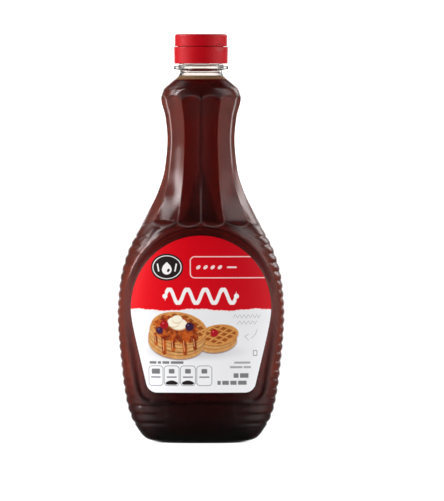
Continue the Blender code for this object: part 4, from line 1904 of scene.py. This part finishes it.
@dataclass
class Cap:
    """The red flip-top: a base with a spout, a lid with a pin, and the strap that hinges them."""

    finish: CapPlastic = CapPlastic()
    columns: int = 240
    spacing: float = 0.00045
    top: float = 0.2449
    seam: float = 0.2376
    seam_gap: float = 0.0003
    bottom: float = 0.2272
    top_radius: float = 0.0162
    bottom_radius: float = 0.0160
    skirt_inner: float = 0.0143
    lid_radius: float = 0.0157
    lid_inner: float = 0.0139
    lid_roof: float = 0.0014
    deck_bottom: float = 0.2353
    deck_top: float = 0.2367
    rim_width: float = 0.0013
    collar: tuple[float, float, float] = (0.0128, 0.0135, 0.2384)
    spout_radius: float = 0.0055
    spout_top: float = 0.2410
    orifice: float = 0.0035
    pin_radius: float = 0.0030
    pin_bottom: float = 0.2394
    scoop_angle: float = math.radians(45.0)
    scoop_half_width: float = 0.0075
    scoop_half_height: float = 0.0050
    scoop_reach: float = 0.0040
    scoop_depth: float = 0.0011
    scoop_height: float = 0.2381
    scoop_soft: float = 0.0003
    scoop_wall: float = 0.01499
    lip: Point = (0.0052, 0.0020, 0.0010)
    lip_out: float = 0.0002
    lip_soft: float = 0.0003
    pad: Point = (0.0080, 0.0016, 0.0024)
    pad_radius: float = 0.0166
    strap: Point = (0.0062, 0.0007, 0.0042)
    pad_soft: float = 0.0004
    strap_radius: float = 0.01675
    strap_soft: float = 0.0002
    bend_half: float = 0.0011
    sharp_angle: float = math.radians(40.0)

    def pressed(self, points: np.ndarray) -> np.ndarray:
        """Press the thumb scoop into the outer wall.

        Args:
            points: Points of the cap.

        Returns:
            The points, moved in where the scoop is.
        """
        out = np.array((math.sin(self.scoop_angle), -math.cos(self.scoop_angle)))
        side = np.array((out[1], -out[0]))
        ahead, across = points[..., :2] @ out, points[..., :2] @ side
        radius = np.hypot(points[..., 0], points[..., 1])
        up = (points[..., 2] - self.scoop_height) / self.scoop_half_height
        inside = 1.0 - (across / self.scoop_half_width) ** 2 - up ** 2
        reach = self.top_radius - self.scoop_depth + self.scoop_reach
        face = reach - self.scoop_reach * np.sqrt(np.maximum(inside, 0.0))
        gap = face - ahead
        soft = self.scoop_soft
        bend = np.clip(soft - np.abs(gap), 0.0, None) ** 2 / (4.0 * soft)
        target = np.minimum(ahead, face) - bend
        change = np.where((inside > 0.0) & (radius > self.scoop_wall) & (ahead > 0.0), target - ahead, 0.0)
        moved = points.copy()
        moved[..., :2] += change[..., None] * out
        return moved

    def turned(self, name: str, outline: Sequence[Pair], closed: bool) -> bpy.types.Object:
        """Turn a piece from an outline and press the scoop into it.

        Args:
            name: The piece's name.
            outline: Radii and heights.
            closed: Whether the last point runs on to the first, and otherwise both lie on the axis.

        Returns:
            The piece.
        """
        angle = np.linspace(0.0, TURN, self.columns, endpoint=False)
        body, poles = outline, ()
        if not closed:
            body, poles = outline[1:-1], [(0.0, 0.0, outline[end][1]) for end in (0, -1)]
        rings = np.stack([polar(radius + 0.0 * angle, angle, height) for radius, height in body])
        return surface(name, self.pressed(rings), {}, poles)

    def block(self, size: Point, angle: float, radius: float, height: float, soft: float) -> bmesh.types.BMesh:
        """Make a small rounded block, tangent to the cap.

        Args:
            size: The block's width, depth and height.
            angle: Its angle from the front.
            radius: How far out its outer face is.
            height: The height of its middle.
            soft: How far its edges are rounded.

        Returns:
            Its mesh.
        """
        builder = bmesh.new()
        bmesh.ops.create_cube(builder, size=1.0)
        bmesh.ops.scale(builder, vec=Vector(size), verts=builder.verts)
        bmesh.ops.bevel(
            builder, geom=builder.edges[:], offset=soft, offset_type="OFFSET", segments=4, profile=0.5,
            affect="EDGES",
        )
        away = radius - 0.5 * size[1]
        place = Vector((away * math.sin(angle), -away * math.cos(angle), height))
        builder.transform(Matrix.Translation(place) @ Matrix.Rotation(angle, 4, "Z"))
        return builder

    def hinge_pad(self, height: float) -> bmesh.types.BMesh:
        """One of the two pads that the strap runs between, at a height."""
        return self.block(self.pad, self.scoop_angle + math.pi, self.pad_radius, height, self.pad_soft)

    def join(self, part: bpy.types.Object, blocks: Sequence[bmesh.types.BMesh]) -> None:
        """Add blocks to a piece's mesh, turn everything outwards and dress it.

        Args:
            part: The piece.
            blocks: The blocks.
        """
        face_out(part)
        builder = bmesh.new()
        builder.from_mesh(part.data)
        for block in blocks:
            extra = bpy.data.meshes.new("block")
            bmesh.ops.recalc_face_normals(block, faces=block.faces)
            block.to_mesh(extra)
            block.free()
            builder.from_mesh(extra)
            bpy.data.meshes.remove(extra)
        builder.to_mesh(part.data)
        builder.free()
        part.data.shade_smooth()
        part.data.set_sharp_from_angle(angle=self.sharp_angle)
        part.data.materials.append(self.finish.material())

    def base(self) -> bpy.types.Object:
        """Build the base: skirt, deck, rim, spout and the collar that the lid closes round.

        Returns:
            The piece.
        """
        inside, outside, collar_top = self.collar
        rim = self.seam - self.seam_gap
        inner_rim = self.top_radius - self.rim_width
        corners = (
            (self.top_radius, rim, 0.00025),
            (self.bottom_radius, self.bottom, 0.0003),
            (self.skirt_inner, self.bottom, 0.0003),
            (self.skirt_inner, self.deck_bottom, 0.0004),
            (self.orifice, self.deck_bottom, 0.0004),
            (self.orifice, self.spout_top, 0.0003),
            (self.spout_radius, self.spout_top, 0.0006),
            (self.spout_radius, self.deck_top, 0.0010),
            (inside, self.deck_top, 0.0004),
            (inside, collar_top, 0.0003),
            (outside, collar_top, 0.0003),
            (outside, self.deck_top, 0.0003),
            (inner_rim, self.deck_top, 0.0003),
            (inner_rim, rim, 0.0002),
        )
        outline = divided(rounded(corners, True), self.spacing * 1.4, True)
        part = self.turned("cap_base_shell", outline, True)
        self.join(part, [self.hinge_pad(rim - 0.5 * self.pad[2])])
        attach(part, "bottle")
        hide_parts("cap_base")
        return part

    def lid(self) -> bpy.types.Object:
        """Build the lid: a shallow cup with a soft top edge, the lip and the pin.

        Returns:
            The piece.
        """
        roof = self.top - self.lid_roof
        corners = (
            (0.0, self.top, 0.0),
            (self.lid_radius, self.top, 0.0011),
            (self.lid_radius, self.seam, 0.0002),
            (self.lid_inner, self.seam, 0.0002),
            (self.lid_inner, roof, 0.0008),
            (self.pin_radius, roof, 0.0006),
            (self.pin_radius, self.pin_bottom, 0.0005),
            (0.0, self.pin_bottom, 0.0),
        )
        outline = divided(rounded(corners, False, 6), self.spacing, False)
        part = self.turned("flip_lid_shell", outline, False)
        lip_height = self.seam + 0.5 * self.lip[2]
        self.join(part, [
            self.block(self.lip, self.scoop_angle, self.lid_radius + self.lip_out, lip_height, self.lip_soft),
            self.hinge_pad(self.seam + 0.5 * self.pad[2]),
        ])
        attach(part, "lid")
        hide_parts("flip_lid")
        return part

    def hinge(self) -> bpy.types.Object:
        """Build the strap across the seam at the back.

        Returns:
            The piece.
        """
        angle = self.scoop_angle + math.pi
        middle = self.seam - 0.5 * self.seam_gap
        builder = self.block(self.strap, angle, self.strap_radius, middle, self.strap_soft)
        mesh = bpy.data.meshes.new("hinge_strap")
        bmesh.ops.subdivide_edges(
            builder, edges=[e for e in builder.edges if abs(e.verts[0].co.z - e.verts[1].co.z) > 0.002],
            cuts=10, use_grid_fill=True,
        )
        bmesh.ops.recalc_face_normals(builder, faces=builder.faces)
        builder.to_mesh(mesh)
        builder.free()
        mesh.shade_smooth()
        mesh.set_sharp_from_angle(angle=self.sharp_angle)
        mesh.materials.append(self.finish.material())
        part = placed("hinge_strap", mesh)
        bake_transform(part)
        return part


@dataclass(frozen=True)
class SoftBox:
    """A studio light: a glowing rectangle that faces a point."""

    name: str
    place: Point
    size: Pair
    radiance: float
    aim: Point = (0.0, 0.0, 0.13)

    def build(self) -> None:
        """Hang the light."""
        light = bpy.data.lights.new(self.name, "AREA")
        light.shape = "RECTANGLE"
        light.size, light.size_y = self.size
        light.energy = self.radiance * math.pi * self.size[0] * self.size[1]
        lamp = placed(self.name, light)
        lamp.visible_glossy = False
        lamp.location = self.place
        lamp.rotation_euler = (Vector(self.aim) - Vector(self.place)).to_track_quat("-Z", "Y").to_euler()


@dataclass(frozen=True)
class Glow:
    """A soft patch of light in the sky, by its angle from the front and the sine of its height."""

    angle: float
    reach: float
    low: float
    middle: float
    high: float
    strength: float
    lean: float = 0.0

    def light(self, graph: Graph, angle: Value, height: Value) -> Value:
        """Work out its light from a direction.

        Args:
            graph: The sky's tree.
            angle: The direction's angle from the front.
            height: The sine of its height.

        Returns:
            The light.
        """
        leaned = (height - self.middle) * math.radians(self.lean) + math.radians(self.angle)
        across = graph.ease(math.radians(self.reach), 0.0, abs(angle - leaned))
        upright = graph.ease(self.low, self.middle, height) * graph.ease(self.high, self.middle, height)
        return across * upright * self.strength


@dataclass
class Studio:
    """A glowing pale table, soft lights and the camera that the photograph was taken with."""

    scale: float = 0.0006
    frame_size: tuple[int, int] = (444, 501)
    axis_pixel: float = 201.0
    foot_pixel: float = 442.3
    distance: float = 6.0
    eye: float = 0.20
    boxes: tuple[SoftBox, ...] = (
        SoftBox("left_key", (-0.98, -0.54, 0.27), (0.48, 0.46), 5.3),
        SoftBox("right_key", (1.06, -0.36, 0.27), (0.40, 0.46), 3.3),
    )
    glows: tuple[Glow, ...] = (
        Glow(-86.0, 11.0, 0.02, 0.32, 0.95, 16.0, 28.0),
        Glow(-101.0, 14.0, 0.10, 0.45, 0.72, 6.0),
        Glow(-128.0, 26.0, 0.30, 0.70, 0.95, 1.6),
        Glow(90.0, 32.0, 0.05, 0.50, 0.90, 1.9),
        Glow(70.0, 28.0, 0.40, 0.70, 0.95, 1.8),
        Glow(140.0, 19.0, 0.02, 0.30, 0.80, 2.8),
    )
    front_sky: float = 0.02
    side_sky: float = 0.95
    behind_sky: float = 0.12
    back_sky: float = 1.3
    high_sky: float = 0.10
    table_radius: float = 0.80
    table_front: float = -0.30
    table_greys: tuple[Colour, Colour] = (grey(0.60), grey(0.62))
    table_glow_and_shadow: Pair = (0.80, 1.0)

    def table(self) -> None:
        """A pale glowing table top, with a painted contact shadow: it glows less near its middle, where the bottle
        stands.
        """
        builder = bmesh.new()
        bmesh.ops.create_circle(builder, cap_ends=True, segments=128, radius=self.table_radius)
        mesh = bpy.data.meshes.new("table")
        builder.transform(Matrix.Translation((0.0, self.table_front + self.table_radius, 0.0)))
        builder.to_mesh(mesh)
        builder.free()
        graph = SurfaceGraph("table")
        cloud = graph.noise(3.0)
        x, y, _ = graph.split(graph.place)
        # Painted contact shadow: the glow is weaker round the bottle's foot.
        painted_shadow, bright = self.table_glow_and_shadow
        graph.set(
            Base_Color=graph.blend(cloud, *self.table_greys),
            Roughness=0.7,
            Emission_Color=grey(1.0),
            Emission_Strength=graph.ease(0.04, 0.12, graph.hypotenuse(x, y)) * (bright - painted_shadow) + painted_shadow,
        )
        mesh.materials.append(graph.material)
        part = placed("table", mesh)
        part.visible_glossy = False

    def camera(self) -> None:
        """A long lens from in front and a little above, which keeps the bottle upright."""
        width, height = self.frame_size
        camera = bpy.data.cameras.new("camera")
        camera.sensor_fit = "VERTICAL"
        camera.sensor_height = 36.0
        camera.lens = camera.sensor_height * self.distance / (height * self.scale)
        camera.shift_x = (0.5 * width - self.axis_pixel) / height
        camera.clip_end = 50.0
        rig = placed("camera", camera)
        aim = Vector((0.0, 0.0, (self.foot_pixel - 0.5 * height) * self.scale))
        rig.location = (0.0, -self.distance, self.eye)
        rig.rotation_euler = (aim - rig.location).to_track_quat("-Z", "Y").to_euler()
        bpy.context.scene.camera = rig

    def sky(self) -> None:
        """White all round to the eye; as a light, bright low at the sides and behind, dark in front and above."""
        world = bpy.data.worlds.new("studio")
        bpy.context.scene.world = world
        world.use_nodes = True
        graph = Graph(world.node_tree)
        background = world.node_tree.nodes["Background"]
        place = Value(graph, graph.add("ShaderNodeTexCoord").outputs["Generated"])
        x, y, z = graph.split(place)
        angle = graph.math("ARCTAN2", x, y * -1.0)
        side = graph.ease(-1.05, -0.15, y) * graph.ease(0.60, -0.05, y) * self.side_sky
        behind = graph.ease(0.0, 0.7, y) * self.behind_sky + graph.ease(0.88, 0.97, y) * self.back_sky
        low = side + behind + self.front_sky
        strength = low * (graph.ease(0.85, 0.25, abs(z)) * (1.0 - self.high_sky) + self.high_sky)
        for glow in self.glows:
            strength = strength + glow.light(graph, angle, z)
        seen = Value(graph, graph.add("ShaderNodeLightPath").outputs["Is Camera Ray"])
        graph.feed(background.inputs["Color"], grey(1.0))
        graph.feed(background.inputs["Strength"], strength.most(seen))

    def build(self) -> None:
        """Set the whole studio up."""
        bpy.context.scene.view_settings.view_transform = "Standard"
        self.table()
        self.camera()
        self.sky()
        for box in self.boxes:
            box.build()


def report(part: bpy.types.Object) -> None:
    """Log a piece's size in triangles and millimetres.

    Args:
        part: The piece.
    """
    triangles = sum(len(face.vertices) - 2 for face in part.data.polygons)
    corners = np.array([vertex.co for vertex in part.data.vertices])
    size = (corners.max(axis=0) - corners.min(axis=0)) / MM
    log.info("%s: %d triangles, %.1f x %.1f x %.1f mm", part.name, triangles, *size)


def main() -> None:
    """Build and dress every piece, set up the studio and note the sizes."""
    logging.basicConfig(level=logging.INFO, format="%(asctime)s %(name)s %(message)s")
    bottle = Bottle()
    cap = Cap()
    report(bottle.build())
    report(Contents(bottle).build())
    stamps = StampSet()
    for side in Side:
        report(Label(side, stamps).build())
    for make in (cap.base, cap.lid, cap.hinge):
        report(make())
    Studio().build()


if __name__ == "__main__":
    main()
